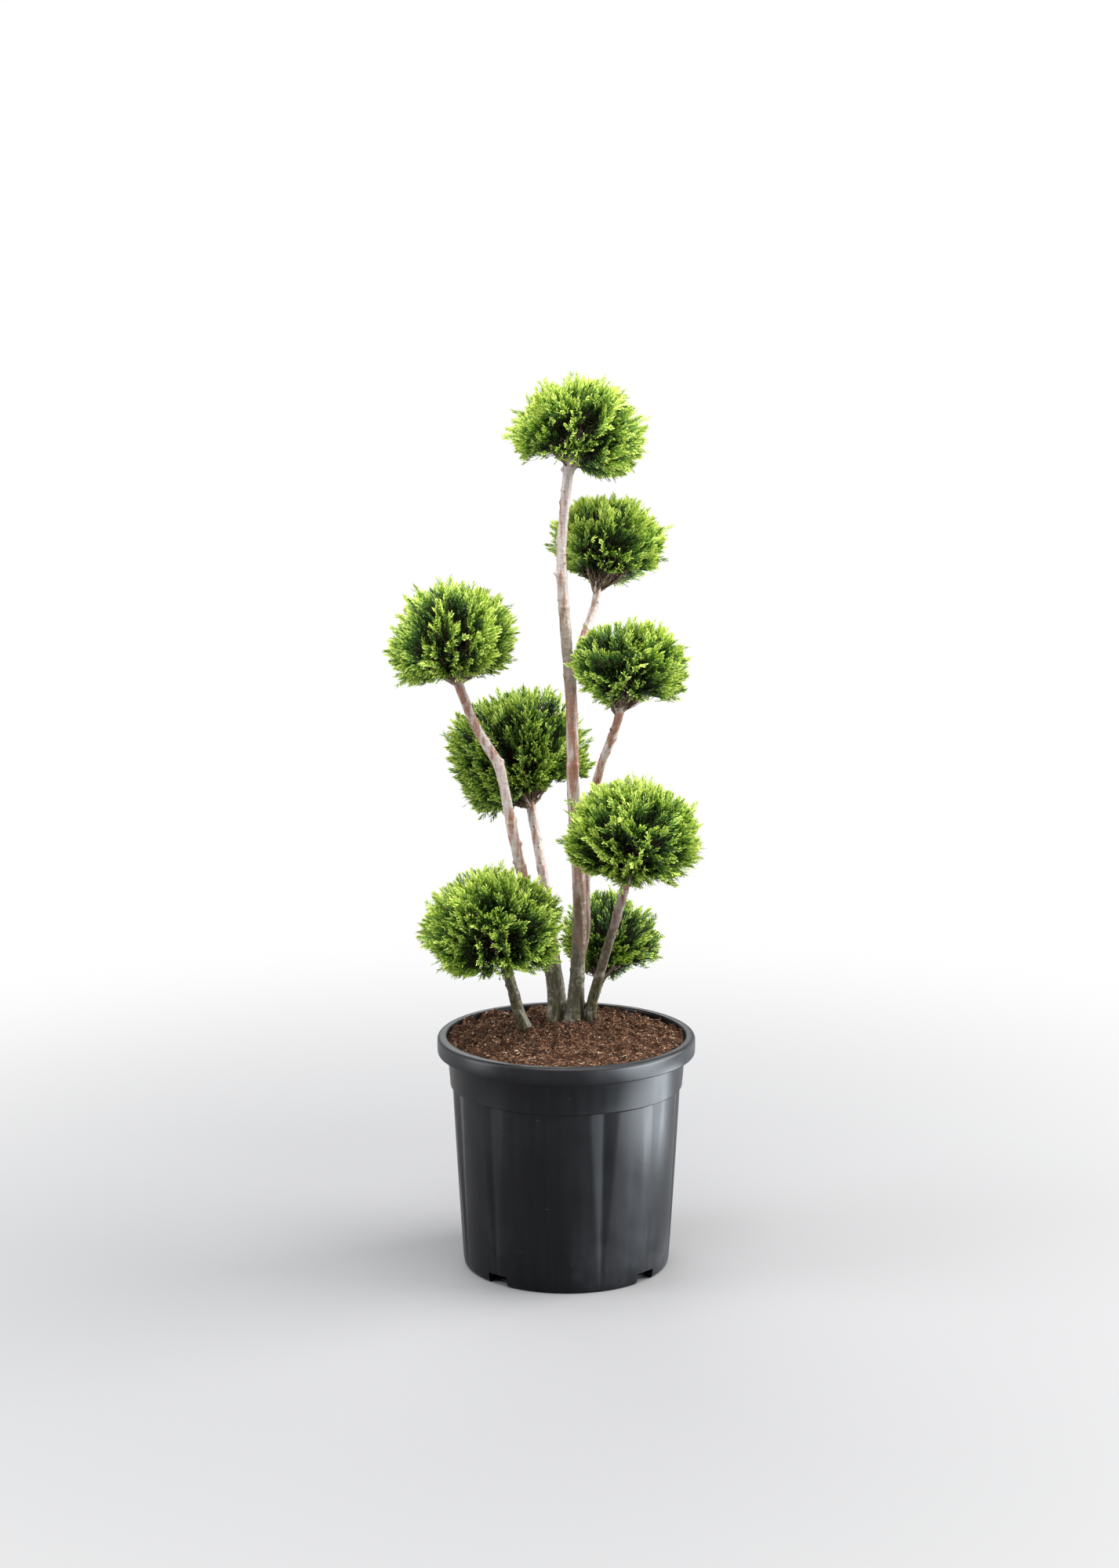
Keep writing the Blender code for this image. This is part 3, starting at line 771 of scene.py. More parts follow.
def layOnSoil(rng, shape, lift):
    # each splinter turned, tilted and set down at its own spot on the mound
    count = len(shape)
    r = soil["radius"] * np.sqrt(rng.uniform(0, 0.985, count))
    flat = r[:, None] * levelWays(rng.uniform(0, fullTurn, count))
    along = levelWays(rng.uniform(0, fullTurn, count))
    along = sweep(along, up, rng.normal(0, soil["tilt"], count))
    across = turnAbout(unit(np.cross(up, along)), along, rng.normal(0, soil["roll"], count))
    raised = np.cross(along, across)
    spot = flat + up * (soilHeight(flat) + rng.uniform(*lift, count))[:, None]
    placed = (spot[:, None] + shape[..., :1] * along[:, None] + shape[..., 1:2] * across[:, None]
              + shape[..., 2:3] * raised[:, None])
    far = np.maximum(np.linalg.norm(placed[..., :2], axis=2, keepdims=True), 1e-6)
    placed[..., :2] *= np.minimum(1.0, (soil["radius"] - 0.05) / far)
    return placed


def makeSoil():
    rng = np.random.default_rng(soil["seed"])
    g = Graph("soil_bed")
    big = g.noise(70.0, 5.0, 0.65)
    fine = g.noise((520.0, 520.0, 520.0), 4.0, 0.65)
    colour = g.ramp(fine, [(0.28, (0.010, 0.005, 0.003)), (0.50, (0.052, 0.024, 0.013)),
                           (0.74, (0.150, 0.078, 0.043))])
    colour = g.coats(colour, (g.between(big, 0.0, 0.6, 0.5, 0.7), (0.022, 0.012, 0.008)))
    g.finish(Base_Color=colour, Roughness=0.95, Normal=g.bump(fine + big * 0.6, 0.003, 0.9),
             Specular_IOR_Level=0.2)
    place(meshPiece("soil_bed", *soilBed(), [g.material], smooth=True), "soil", "soil")
    tones = [plainFinish(*tone) for tone in soil["tones"]]
    for name, count, *sizes, lift, odds in soil["loose"]:
        placed = layOnSoil(rng, chipShapes(rng, count, *sizes), lift)
        which = np.repeat(rng.choice(len(tones), count, p=odds), len(boxFaces))
        faces = copies(boxFaces, count, len(boxCorners))
        place(meshPiece(name, placed.reshape(-1, 3) * cm, faces, tones, which), "soil")


makeSoil()
print("soil made")


# Foliage: every ball is a seeded tree of twigs that carries large flat fans, as the plant's own sprays are.
# The fans stand on edge like the leaves of an opened book, from near the stem's tip out to the ball's face,
# in stacks with dark clefts between, and are clipped at the CAD mass's own face.

leaves = dict(
    usual=8.0,                      # cm, the mean reach of a ball that has the numbers of fans given here
    root=(0.72, 0.28),              # shares of the stem's tip and of the ball's middle in the fans' root
    rows=[(-56, 5), (-34, 9), (-14, 16), (8, 19), (30, 17), (52, 13), (74, 6)],  # lift in degrees, and fans
    rowShake=(0.16, 5.5, 0.07),     # spreads: share of a fan's spacing, degrees of lift, its way's own shake
    twins=0.40,                     # share of fans with a second one close beside them
    roll=(32.0, 18.0, 20.0, 42.0),  # degrees that fans lean off upright, from the bottom row to the top
    rebels=0.14,                    # share of fans that lie askew
    cool=0.13,                      # share of fans in a cooler green
    span=(26.0, 40.0),              # degrees of a fan to each side of its middle
    start=(0.12, 0.34),             # where a fan starts, as a share of the way to the face
    limit=(0.952, 0.042),           # how far fans reach, as a share of the mass's own reach, and its spread
    wave=0.075, cup=0.10,           # how far the rim winds and the fan cups, as shares of its size
    inner=54,                       # fans deep in the ball, dark as painted shade, and where they start and end
    innerStart=(0.05, 0.2), innerLimit=(0.60, 0.74),
    frondRows=[(1.0, 0.74, (1.9, 3.1)), (0.80, 0.95, (2.0, 2.9)), (0.58, 1.7, (1.8, 2.6))],
                                    # share of the fan's reach, cm from frond to frond, cm long
    strays=0.12, proud=(0.3, 1.3), strayLimit=1.11,     # share of fronds that stand proud, cm, their limit
    shake=(9.0, 8.0, 11.0),         # degrees that fronds are rolled, pitched and turned
    bend=(0.06, 0.12),              # mean and spread of how far fronds bend
    sizes=(1.7, 2.3, 2.9, 3.5),     # cm, of the frond templates
    variants=4,
    fingerStep=0.163,               # cm along the rib from a finger to the next one on the other side
    fingerLength=0.90, fingerStretch=(0.88, 1.1), fingerWidth=(0.128, 0.172), deepWidth=2.0,
    fingerShake=0.05, fingerTwist=(0.30, 0.22),     # radians in its sheet, slopes across and along it
    fingerCurl=0.16,                # how far it curves towards the frond's tip
    fingerLean=(44, 22),            # degrees of a finger off the rib, low down and at the tip
    fingerOutline=np.array([[-0.27, 0.0], [0.27, 0.0], [0.5, 0.50],     # shares of its width and length
                            [-0.48, 0.58], [0.30, 0.96], [-0.20, 1.0]]),
    ribWidth=(0.07, 0.055, 0.035),  # cm from the rib's middle to its edge
    underside=(6.0, 24.0),          # degrees above level, from the stem's tip, below which a ball is bare
    bareReach=4.5, bareDroop=30, bareLift=0.35,         # cm out, degrees down beyond that, and cm up
    warmth=(0.16, 0.08, 0.11),      # spread of lightness from stack to stack, fan to fan and frond to frond
    # a finger's lightness: atFace and upright are painted light, atTip is the frond's own colour, backRows
    # is painted shade
    light=dict(least=0.09, atFace=0.68, atTip=0.16, upright=0.30, spread=0.09, backRows=0.9),
    young=dict(least=0.32, atFace=0.40, odds=0.3, more=0.34),   # how much lighter a finger's tip is, more so at the face as painted light
    steps=[0.28, 0.55, 0.82, 1.08, 1.34, 1.66],         # lightness where one leaf tone gives way to the next
)
balls = {       # each ball's own lightness, its fans' lean, and how bare it is below and to which bearing
    "foliage_top": dict(mood=0.08, lean=1.0, bare=(1.25, 195)),
    "foliage_upper_right": dict(mood=0.10, lean=1.0, bare=(2.1, 270)),
    "foliage_left": dict(mood=0.04, lean=0.5, bare=(0.8, 270)),
    "foliage_right": dict(mood=-0.02, lean=1.0, bare=(1.8, 0)),
    "foliage_middle_left": dict(mood=-0.10, lean=1.0, bare=(1.9, 0)),
    "foliage_lower_right": dict(mood=0.16, lean=1.0, bare=(0.8, 270)),
    "foliage_lower_left": dict(mood=0.0, lean=1.0, bare=(0.8, 270)),
    "foliage_back_right": dict(mood=-0.24, lean=1.0, bare=(1.7, 280)),
}
leafTones = [
    ("leaf_shade", (0.010, 0.020, 0.005)),
    ("leaf_deep", (0.036, 0.084, 0.014)),
    ("leaf_green", (0.090, 0.190, 0.026)),
    ("leaf_mid", (0.185, 0.330, 0.042)),
    ("leaf_bright", (0.330, 0.500, 0.060)),
    ("leaf_lime", (0.490, 0.640, 0.088)),
    ("leaf_gold", (0.640, 0.740, 0.170)),
    ("leaf_cool", (0.062, 0.158, 0.032)),
    ("leaf_cool_mid", (0.140, 0.285, 0.058)),
]
twigs = dict(
    forks=7, forkShare=(0.17, 0.27),            # limbs at the stem's tip, and their radius by its width
    hub=0.40,                                   # share of the way to the face where a stack's twigs part
    mainRadius=(0.10, 0.16), fineRadius=0.062, stalkRadius=0.045,       # cm
    bare=38, bareRadius=(0.045, 0.085),         # thin twigs under a ball
    forkOdds=[0.1, 0.5, 0.4], mainOdds=[0.35, 0.5, 0.15], fineOdds=[0.65, 0.30, 0.05],
    stalkOdds=[0.75, 0.25, 0.0], bareOdds=[0.45, 0.45, 0.10],           # odds of each twig tone
)
twigTones = [
    ("twig_dark", (0.050, 0.034, 0.022)),
    ("twig_brown", (0.170, 0.110, 0.075)),
    ("twig_grey", (0.340, 0.270, 0.220)),
]


def reachTable(name, rows=30, columns=60):
    # how far the CAD mass reaches from the middle of its box, in cm, by elevation and bearing, along rays
    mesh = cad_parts[name].data
    corners = [tuple(v.co) for v in mesh.vertices]
    tree = BVHTree.FromPolygons(corners, [tuple(p.vertices) for p in mesh.polygons])
    low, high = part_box(name)
    middle = np.array((low + high) / 2) / cm
    table = np.zeros((rows, columns))
    for i, e in enumerate(np.linspace(-math.pi / 2, math.pi / 2, rows)):
        for j, a in enumerate(np.linspace(-math.pi, math.pi, columns)):
            ray = Vector((math.cos(e) * math.cos(a), math.cos(e) * math.sin(a), math.sin(e)))
            table[i, j] = (tree.ray_cast(Vector(middle * cm), ray)[3] or 0.0) / cm
    table[table == 0] = np.median(table)
    return table, middle


def reachAt(table, directions):
    # the table read between its entries, for many directions at once
    rows, columns = table.shape
    e = (np.arcsin(np.clip(directions[:, 2], -1, 1)) / math.pi + 0.5) * (rows - 1)
    a = (np.arctan2(directions[:, 1], directions[:, 0]) / fullTurn + 0.5) * (columns - 1)
    i, j = np.clip(e.astype(int), 0, rows - 2), np.clip(a.astype(int), 0, columns - 2)
    fe, fa = e - i, a - j
    return ((table[i, j] * (1 - fa) + table[i, j + 1] * fa) * (1 - fe)
            + (table[i + 1, j] * (1 - fa) + table[i + 1, j + 1] * fa) * fe)


def depthOf(ball, places):
    # each place's distance from the ball's middle, as a share of the mass's reach that way
    out = (places - ball["middle"]).reshape(-1, 3)
    far = np.maximum(np.linalg.norm(out, axis=1), 1e-6)
    return (far / reachAt(ball["table"], out / far[:, None])).reshape(places.shape[:-1])


def wayOut(ball, feet, ways):
    # how far it is from the feet to the ball's face along each way, by halving steps
    near, far = np.zeros(len(ways)), np.full(len(ways), 30.0)
    for _ in range(18):
        half = (near + far) / 2
        inside = depthOf(ball, feet + ways * half[:, None]) < 1
        near, far = np.where(inside, half, near), np.where(inside, far, half)
    return near


def frondTemplate(size, rng):
    # one flat frond of the given length in cm: blunt fingers in turn left and right along its rib, longest a
    # third of the way up, which lean less and less off it. A finger is (y, heading, length, order).
    count = int(size / leaves["fingerStep"])
    order = (np.arange(count) + rng.uniform(0.2, 0.8, count)) / count
    hand = np.where(np.arange(count) % 2, 1.0, -1.0)
    lean = np.radians(np.interp(order, [0, 1], leaves["fingerLean"]) + rng.normal(0, 3.5, count))
    length = leaves["fingerLength"] * np.interp(order, [0, 0.25, 0.6, 1], [0.7, 1.0, 0.95, 0.62])
    length *= rng.uniform(0.72, 1.12, count)
    fingers = np.stack([size * (0.02 + 0.80 * order), hand * lean, length, order], 1)
    return np.concatenate([fingers, [[0.80 * size, 0.0, 0.66, 1.0]]])


def standFans(ball, along, face, start, limit, rng):
    # fans of given growth and facing, from a share of the way out up to the face
    count = len(along)
    way = wayOut(ball, ball["root"], along)
    face = squareTo(face, along)
    return dict(
        foot=ball["root"] + along * (way * start)[:, None], along=along, face=face,
        across=np.cross(face, along), size=np.maximum(way * (limit - start), 2.0), limit=limit,
        span=np.radians(rng.uniform(*leaves["span"], count)),
        cup=rng.normal(0, leaves["cup"], count), wave=rng.normal(0, leaves["wave"], count),
        winds=rng.uniform(2.5, 6.0, count), phase=rng.uniform(0, fullTurn, count))


def growFans(ball, rng):
    # the fans' growth ways in rows by lift, each on edge to the ball's axis unless it lies askew
    axis = ball["axis"]
    level = unit(np.cross(axis, np.array([0.3, 1.0, 0.1])))
    other = np.cross(axis, level)
    aside, upward, shake = leaves["rowShake"]
    ways, lifts = [], []
    for lift, count in leaves["rows"]:
        count = max(1, int(round(count * ball["scale"])))
        turn = fullTurn * (np.arange(count) + rng.uniform(0, 1) + rng.normal(0, aside, count)) / count
        rise = np.radians(lift + rng.normal(0, upward, count))
        ways.append(sweep(sweep(level, other, turn), axis, rise))
        lifts.append(rise)
    ways, lifts = unit(np.concatenate(ways)), np.concatenate(lifts)
    twins = np.flatnonzero(rng.uniform(size=len(ways)) < leaves["twins"])
    stack = np.concatenate([np.arange(len(ways)), twins])
    count = len(stack)
    facing = np.cross(ways, axis)
    clear = np.linalg.norm(facing, axis=1, keepdims=True) > 0.35
    facing = unit(np.where(clear, facing, rng.normal(size=facing.shape) * [1, 1, 0.1]))[stack]
    along = unit(ways[stack] + rng.normal(0, shake, (count, 3)))
    roll = np.interp(lifts[stack], [-0.6, 0.0, 0.5, 1.2], leaves["roll"]) * rng.normal(0, 1, count)
    askew = rng.uniform(size=count) < leaves["rebels"]
    roll = np.where(askew, rng.choice([-1, 1], count) * rng.uniform(45, 90, count), roll) * ball["lean"]
    face = turnAbout(squareTo(facing, along), along, np.radians(roll))
    limit = rng.normal(*leaves["limit"], len(ways))[stack] + rng.normal(0, 0.012, count)
    start = rng.uniform(*leaves["start"], count)
    fans = standFans(ball, along, face, start, np.clip(limit, 0.86, 1.0), rng)
    byStack, byFan, _ = leaves["warmth"]
    fans["stack"] = stack
    fans["cool"] = rng.uniform(size=count) < leaves["cool"]
    fans["warmth"] = rng.normal(0, byStack, len(ways))[stack] + rng.normal(0, byFan, count) + ball["mood"]
    fans["deep"] = np.zeros(count, bool)
    return ways, fans


def growInner(ball, ways, rng):
    # fans of any facing deep in the ball, in dark tones that paint the shade there, and which close the view
    # through it
    count = int(leaves["inner"] * ball["scale"])
    along = evenDirections(count, rng, 0.2)
    face = unit(rng.normal(size=along.shape))
    start = rng.uniform(*leaves["innerStart"], count)
    fans = standFans(ball, along, face, start, rng.uniform(*leaves["innerLimit"], count), rng)
    fans.update(stack=np.argmax(along @ ways.T, axis=1), cool=np.zeros(count, bool),
                warmth=np.zeros(count), deep=np.ones(count, bool))
    return fans


def onFan(fans, turn, far, size):
    # points of the fans' sheets: out from the foot at a turn off the middle, lifted by cup and winding rim
    rim = fans["cup"] + fans["wave"] * np.sin(turn * fans["winds"] + fans["phase"])
    lift = (far / size) ** 2 * size * rim
    way = sweep(fans["along"], fans["across"], turn)
    return fans["foot"] + way * far[:, None] + fans["face"] * lift[:, None]


def growFronds(ball, fans, rng):
    # fronds side by side along each fan's rim and in shorter rows behind it, each from its foot to its tip
    rows = []
    for share, gap, length in leaves["frondRows"]:
        each = np.maximum(2, np.round(2 * fans["span"] * fans["size"] * share / gap).astype(int))
        fan = np.repeat(np.arange(len(each)), each)
        spot = np.arange(len(fan)) - np.repeat(np.cumsum(each) - each, each)
        turn = fans["span"][fan] * (2 * (spot + 0.5 + rng.uniform(-0.3, 0.3, len(fan))) / each[fan] - 1)
        rows.append((fan, turn, np.full(len(fan), share), rng.uniform(*length, len(fan))))
    which, turn, share, length = [np.concatenate(parts) for parts in zip(*rows)]
    count = len(which)
    own = {key: values[which] for key, values in fans.items()}      # each frond's own fan
    share = share * (1 + rng.normal(0, 0.02, count))
    size = wayOut(ball, own["foot"], sweep(own["along"], own["across"], turn)) * own["limit"]
    size = np.maximum(size, 1.5)
    length = np.minimum(length, 0.8 * size * share)
    stray = rng.uniform(size=count) < leaves["strays"]
    reach = size * share + np.where(stray, rng.uniform(*leaves["proud"], count), 0)
    foot, head = onFan(own, turn, reach - length, size), onFan(own, turn, reach, size)
    along = unit(head - foot)
    roll, pitch, yaw = [np.radians(rng.normal(0, most, count)) for most in leaves["shake"]]
    face = turnAbout(squareTo(own["face"], along), along, roll)
    along = turnAbout(along, np.cross(face, along), pitch)
    along = turnAbout(along, face, yaw)
    face = squareTo(face, along)
    bend = rng.normal(*leaves["bend"], count) * rng.choice([-1, 1], count)
    warmth = own["warmth"] + rng.normal(0, leaves["warmth"][2], count)
    # fronds in rows behind a fan's rim are made darker, as painted shade in the clefts between stacks
    warmth += leaves["light"]["backRows"] * (share - 1)
    return dict(
        fan=which, foot=foot, along=along, face=face, across=np.cross(face, along), size=length, bend=bend,
        limit=np.where(stray, leaves["strayLimit"], own["limit"] + 0.02),
        warmth=warmth, cool=own["cool"], deep=own["deep"])


def onFrond(frond, spots):
    # points of the fronds' own sheets in space: x across, y along and z off it, bent back towards the tip
    bent = spots[..., 2] + frond["bend"][:, None, None] * spots[..., 1] ** 2 / frond["size"][:, None, None]
    foot, across, along, face = [frond[key][:, None, None] for key in ("foot", "across", "along", "face")]
    return foot + spots[..., :1] * across + spots[..., 1:2] * along + bent[..., None] * face


def fingerSpots(fingers, grow, deep, rng):
    # the six corners of each finger on its frond's sheet: a blunt strap, widest half way, curved to the tip
    m, n = len(grow), len(fingers)
    outline = leaves["fingerOutline"]
    heading = fingers[None, :, 1] + rng.normal(0, leaves["fingerShake"], (m, n))
    length = fingers[None, :, 2] * rng.uniform(*leaves["fingerStretch"], (m, n))
    width = rng.uniform(*leaves["fingerWidth"], (m, n)) * np.where(deep, leaves["deepWidth"], 1)[:, None]
    far = length[..., None] * outline[:, 1]
    curl = leaves["fingerCurl"] * np.sign(heading)[..., None]
    side = width[..., None] * outline[:, 0] - curl * far ** 2
    s, c = np.sin(heading)[..., None], np.cos(heading)[..., None]
    y = fingers[None, :, 0, None] * grow[:, None, None] + far * c - side * s
    across, along = [rng.normal(0, most, (m, n, 1)) for most in leaves["fingerTwist"]]
    z = across * side + along * far
    return np.stack([far * s + side * c, y, z], -1)


def leafFronds(ball, fronds, templates, rng):
    # every finger of every frond, cut at the ball's face, with the tones of its base and of its tip
    kept, young = [], leaves["young"]
    sizes = np.repeat(leaves["sizes"], leaves["variants"])
    nearest = np.argmin(np.abs(np.array(leaves["sizes"])[None] / fronds["size"][:, None] - 1), axis=1)
    kind = nearest * leaves["variants"] + rng.integers(0, leaves["variants"], len(nearest))
    for number, fingers in enumerate(templates):
        frond = {key: value[kind == number] for key, value in fronds.items()}
        if len(frond["size"]) == 0:
            continue
        made = onFrond(frond, fingerSpots(fingers, frond["size"] / sizes[number], frond["deep"], rng))
        foot, head = made[:, :, :2].mean(2), made[:, :, 5]
        share, depth = clipShare(ball, foot, head, frond["limit"], rng)
        made = foot[:, :, None] + (made - foot[:, :, None]) * share[..., None, None]
        shown = (share > 0.4) & ~underBall(ball, made[:, :, 5])
        shown &= ~(frond["deep"][:, None] & (np.arange(len(fingers)) % 4 > 1))   # half of them, deep down
        base = fingerLight(frond, depth, fingers[None, :, 3], rng)
        # a tip is lighter as young growth, and lighter still near the ball's face as painted light
        tip = base + young["least"] + young["atFace"] * np.clip((depth - 0.80) / 0.14, 0, 1)
        tip += young["more"] * (rng.uniform(size=depth.shape) < young["odds"])
        kept.append((made[shown], toneOf(base, frond["cool"])[shown], toneOf(tip, frond["cool"])[shown]))
    return [np.concatenate(parts) for parts in zip(*kept)]


def clipShare(ball, foot, head, limit, rng):
    # the share of each finger that lies inside the ball's face, and how deep its end then is
    low, high = depthOf(ball, foot), depthOf(ball, head)
    edge = limit[:, None] + rng.normal(0, 0.03, low.shape)
    share = np.clip((edge - low) / np.maximum(high - low, 1e-4), 0, 1)
    share = np.where(high <= edge, 1.0, share)
    return share, np.minimum(high, edge)


def frondRibs(ball, fronds):
    # each frond's rib, with its tone: a narrow ribbon of two quads along its bend
    y = fronds["size"][:, None] * np.array([0.0, 0.0, 0.5, 0.5, 0.92, 0.92])
    x = np.broadcast_to(np.outer(leaves["ribWidth"], [-1, 1]).ravel(), y.shape)
    made = onFrond(fronds, np.stack([x, y, np.full(y.shape, 0.02)], -1)[:, :, None])[:, :, 0]
    depth = depthOf(ball, made[:, -1])
    shown = (depth < 1.05) & ~underBall(ball, made[:, 2])
    # the rib's tone is painted shade deep in the ball and painted light near its face; the deep fans' ribs
    # take the darkest tone as painted shade
    light = np.where(fronds["deep"], 0.0, -0.1 + 0.8 * np.clip((depth - 0.5) / 0.5, 0, 1) + fronds["warmth"])
    return made[shown], toneOf(light[:, None], fronds["cool"])[shown, 0]


def bareRise(ball, turn):
    # degrees above level below which the ball is bare, towards each bearing
    low, high = leaves["underside"]
    share = 0.5 + 0.5 * np.sin(2 * turn + ball["turn"]) * np.cos(turn - 2.1 * ball["turn"])
    size, bearing = ball["bare"]
    toward = 0.5 + 0.5 * np.cos(turn - math.radians(bearing))
    return (low + (high - low) * share) * size * toward ** 0.7 - 50 * (1 - toward) ** 3


def underBall(ball, places):
    # true below a shallow cone that rises from the stem's tip, wider to some sides, where twigs are bare
    out = places - ball["tip"]
    reach = leaves["bareReach"] * ball["bare"][0] ** 0.6
    level = np.hypot(out[..., 0], out[..., 1]) / reach
    rise = bareRise(ball, np.arctan2(out[..., 1], out[..., 0]))
    rise = rise * np.clip(1.6 - level, 0, 1) - leaves["bareDroop"] * np.clip(level - 1.0, 0, 1)
    return out[..., 2] < level * reach * np.tan(np.radians(rise)) + leaves["bareLift"]


def fingerLight(frond, depth, order, rng):
    # how light a finger is: painted light near the ball's face and painted shade inside it, lighter to the
    # frond's tip as its own colour, and painted light from above where the frond stands up
    light = leaves["light"]
    face = np.clip((depth - 0.62) / 0.36, 0, 1) ** 1.8
    high = np.clip((frond["along"] @ up), -0.4, 1)[:, None]
    made = (light["least"] + light["atFace"] * face + light["atTip"] * order + light["upright"] * high
            + frond["warmth"][:, None] + rng.normal(0, light["spread"], depth.shape))
    # the deep fans' fingers take dark tones as painted shade
    return np.where(frond["deep"][:, None], 0.10 + rng.normal(0, 0.12, depth.shape), made)


def toneOf(light, cool):
    # the leaf slot for a lightness, with the cooler greens, slots 7 and 8, on the fans that have them
    tone = np.digitize(light, leaves["steps"])
    return np.where(cool[:, None], np.where(tone == 2, 7, np.where(tone == 3, 8, tone)), tone)


def tubes(paths, radii, sides):
    # many tubes at once: paths is (tubes, rows, 3), radii (tubes, rows)
    count, rows = radii.shape
    tangent = unit(np.gradient(paths, axis=1))
    side = unit(np.cross(tangent, np.array([0.31, 0.83, 0.11])))
    ring = sweep(side[:, :, None], np.cross(tangent, side)[:, :, None], bearings(sides))
    points = paths[:, :, None] + radii[:, :, None, None] * ring
    return points.reshape(-1, 3), copies(gridFaces(rows, sides), count, rows * sides)


def curvedPaths(starts, ends, pulls, rows, rng, shake):
    # a quadratic curve from each start to each end, drawn towards its pull point, a little crooked
    t = np.linspace(0, 1, rows)[None, :, None]
    path = (1 - t) ** 2 * starts[:, None] + 2 * t * (1 - t) * pulls[:, None] + t ** 2 * ends[:, None]
    wobble = rng.normal(0, shake, path.shape) * np.sin(math.pi * t)
    return path + wobble


def underWays(ball, turn, rise):
    # at each bearing, the level direction, and the way to the face just above where the ball is bare
    level = levelWays(turn)
    slope = unit(level + up * np.tan(np.radians(bareRise(ball, turn) + rise))[:, None])
    return level, slope * wayOut(ball, ball["tip"] + up * 0.6, slope)[:, None]


def bareTwigs(ball, forks, rng):
    # thin brown twigs that leave the forks and spread along the ball's bare underside
    count = int(twigs["bare"] * max(0.1, ball["bare"][0] - 0.7))
    turn = rng.uniform(0, fullTurn, count)
    level, way = underWays(ball, turn, rng.uniform(-5, 12, count))
    ends = ball["tip"] + way * rng.uniform(0.3, 0.62, (count, 1)) + up * rng.uniform(0.2, 0.9, (count, 1))
    nearest = np.argmax(level @ unit(forks[:, -1] - forks[:, 0]).T, axis=1)
    starts = forks[nearest, rng.integers(1, 6, count)]
    pulls = 0.5 * (starts + ends) + level * 0.6 - up * 0.35
    path = curvedPaths(starts, ends, pulls, 6, rng, 0.06)
    radius = rng.uniform(*twigs["bareRadius"], (count, 1)) * np.linspace(1, 0.5, 6)
    return (*tubes(path, radius, 4), twigs["bareOdds"])


def forkPaths(ball, rows, rng):
    # the thick limbs that fork at the stem's tip and spread towards the lower face, and the ways they go
    count = twigs["forks"]
    turn = fullTurn * (np.arange(count) + rng.uniform(-0.25, 0.25, count)) / count + ball["turn"]
    level, way = underWays(ball, turn, rng.uniform(4, 22, count))
    starts = ball["tip"] - ball["tipWay"] * rng.uniform(0.4, 1.3 * ball["bare"][0], (count, 1))
    ends = ball["tip"] + way * rng.uniform(0.5, 0.72, (count, 1)) + up * 0.8
    pulls = starts + ball["tipWay"] * 0.9 + level * 1.4
    return curvedPaths(starts, ends, pulls, rows, rng, 0.08), unit(ends - starts)


def growTwigs(ball, ways, fans, fronds, rng):
    # from the forks grow a twig to each stack of fans, finer ones to its fans, and stalks to their fronds
    rows = 9
    forks, forkWays = forkPaths(ball, rows, rng)
    forkRadius = (ball["thick"] * rng.uniform(*twigs["forkShare"], (len(forks), 1))
                  * np.linspace(1, 0.34, rows) ** 1.2)
    nearest = np.argmax(ways @ forkWays.T, axis=1)
    hubs = ball["root"] + ways * (wayOut(ball, ball["root"], ways) * twigs["hub"])[:, None]
    begin = forks[nearest, rng.integers(0, 6, len(ways))]
    gap = np.linalg.norm(hubs - begin, axis=1, keepdims=True)
    pulls = begin + unit(hubs - begin + forkWays[nearest]) * gap * 0.5
    main = curvedPaths(begin, hubs, pulls, rows, rng, 0.06)
    mainRadius = rng.uniform(*twigs["mainRadius"], (len(hubs), 1)) * np.linspace(1, 0.55, rows)
    leave = main[fans["stack"], rng.integers(3, rows, len(fans["size"]))]
    arrive = fans["foot"] + fans["along"] * (0.15 * fans["size"])[:, None]
    gap = np.linalg.norm(arrive - leave, axis=1, keepdims=True)
    fine = curvedPaths(leave, arrive, arrive - fans["along"] * gap * 0.5, 5, rng, 0.04)
    leafy = ~underBall(ball, fronds["foot"] - 0.8 * up)
    stalks = np.stack([arrive[fronds["fan"]], fronds["foot"]], 1)[leafy]
    groups = [
        (*tubes(forks, forkRadius, 8), twigs["forkOdds"]),
        (*tubes(main, mainRadius, 5), twigs["mainOdds"]),
        (*tubes(fine, np.full(fine.shape[:2], twigs["fineRadius"]), 4), twigs["fineOdds"]),
        (*tubes(stalks, np.full(stalks.shape[:2], twigs["stalkRadius"]), 3), twigs["stalkOdds"]),
        bareTwigs(ball, forks, rng),
    ]
    points, faces, tones, start = [], [], [], 0
    for spots, made, odds in groups:
        points.append(spots)
        faces.append(made + start)
        tones.append(rng.choice(len(odds), len(made), p=odds))
        start += len(spots)
    return np.concatenate(points), np.concatenate(faces), np.concatenate(tones)


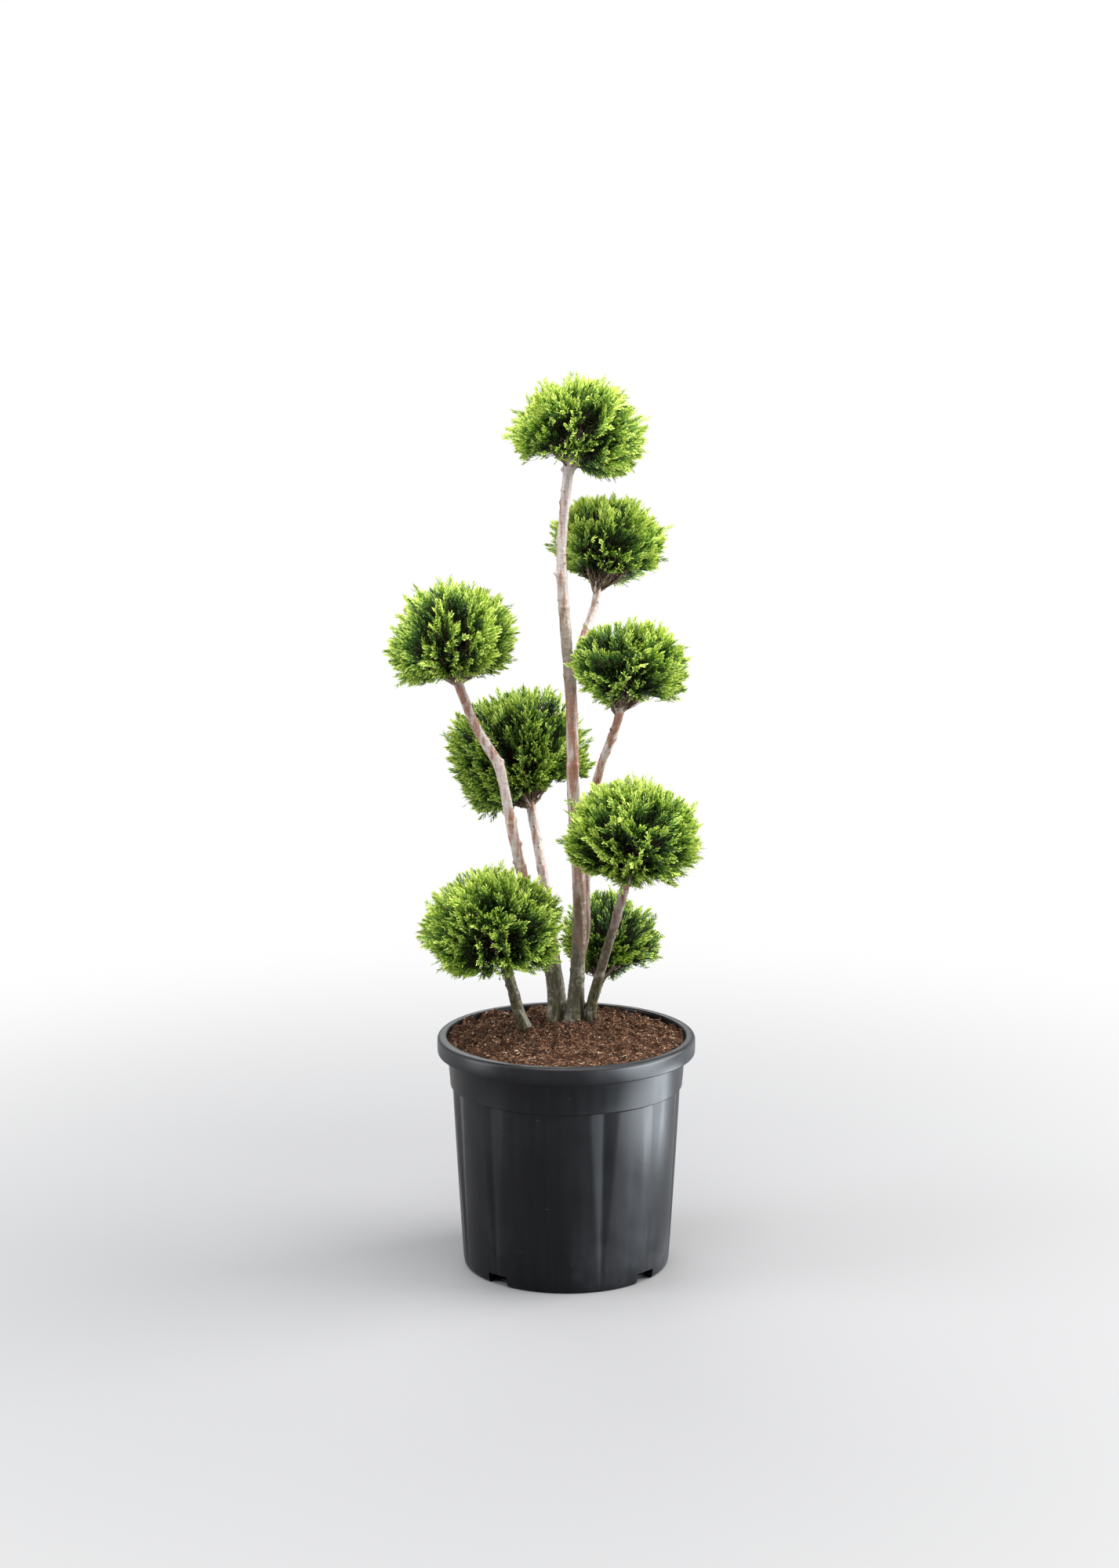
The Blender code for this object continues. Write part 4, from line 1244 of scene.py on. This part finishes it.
def makeBall(limb, seed, templates, leafFinishes, twigFinishes):
    # one ball, grown from its stem's tip: fans, their fronds and fingers, and the twigs that carry them
    name = limb["ball"]
    rng = np.random.default_rng(seed)
    table, middle = reachTable(name)
    tip = np.array(limb["bends"][-1])
    tipWay = unit(tip - np.array(limb["bends"][-2]))
    tipShare, middleShare = leaves["root"]
    ball = dict(balls[name], table=table, middle=middle, tip=tip - tipWay * 0.2, tipWay=tipWay,
                root=tip * tipShare + middle * middleShare, axis=unit(middle - tip + 3.0 * up),
                scale=(np.mean(table) / leaves["usual"]) ** 2, turn=rng.uniform(0, fullTurn),
                thick=limb["thick"][1])
    ways, fans = growFans(ball, rng)
    inner = growInner(ball, ways, rng)
    fans = {key: np.concatenate([fans[key], inner[key]]) for key in fans}
    fronds = growFronds(ball, fans, rng)
    fingers, bases, tips = leafFronds(ball, fronds, templates, rng)
    ribs, ribTones = frondRibs(ball, fronds)
    points = np.concatenate([fingers.reshape(-1, 3), ribs.reshape(-1, 3)])
    faces = [copies([[0, 1, 2, 3]], len(fingers), 6), copies([[3, 2, 4, 5]], len(fingers), 6),
             copies([[0, 1, 3, 2], [2, 3, 5, 4]], len(ribs), 6) + 6 * len(fingers)]
    which = np.concatenate([bases, tips, np.repeat(ribTones, 2)])
    place(meshPiece(name + "_leaves", points * cm, faces, leafFinishes, which), "foliage", name)
    points, faces, which = growTwigs(ball, ways, fans, fronds, rng)
    place(meshPiece(name + "_twigs", points * cm, faces, twigFinishes, which, smooth=True), "bark")
    print(name, "fans", len(fans["size"]), "fronds", len(fronds["size"]), "fingers", len(fingers))


def makeFoliage():
    rng = np.random.default_rng(3)
    templates = [frondTemplate(size, rng) for size in leaves["sizes"] for _ in range(leaves["variants"])]
    leafFinishes = [plainFinish(name, colour, 0.55, 0.35) for name, colour in leafTones]
    twigFinishes = [plainFinish(name, colour, 0.8, 0.3) for name, colour in twigTones]
    for number, limb in enumerate(limbs.values()):
        makeBall(limb, 101 + 13 * number, templates, leafFinishes, twigFinishes)


makeFoliage()
print("foliage made")
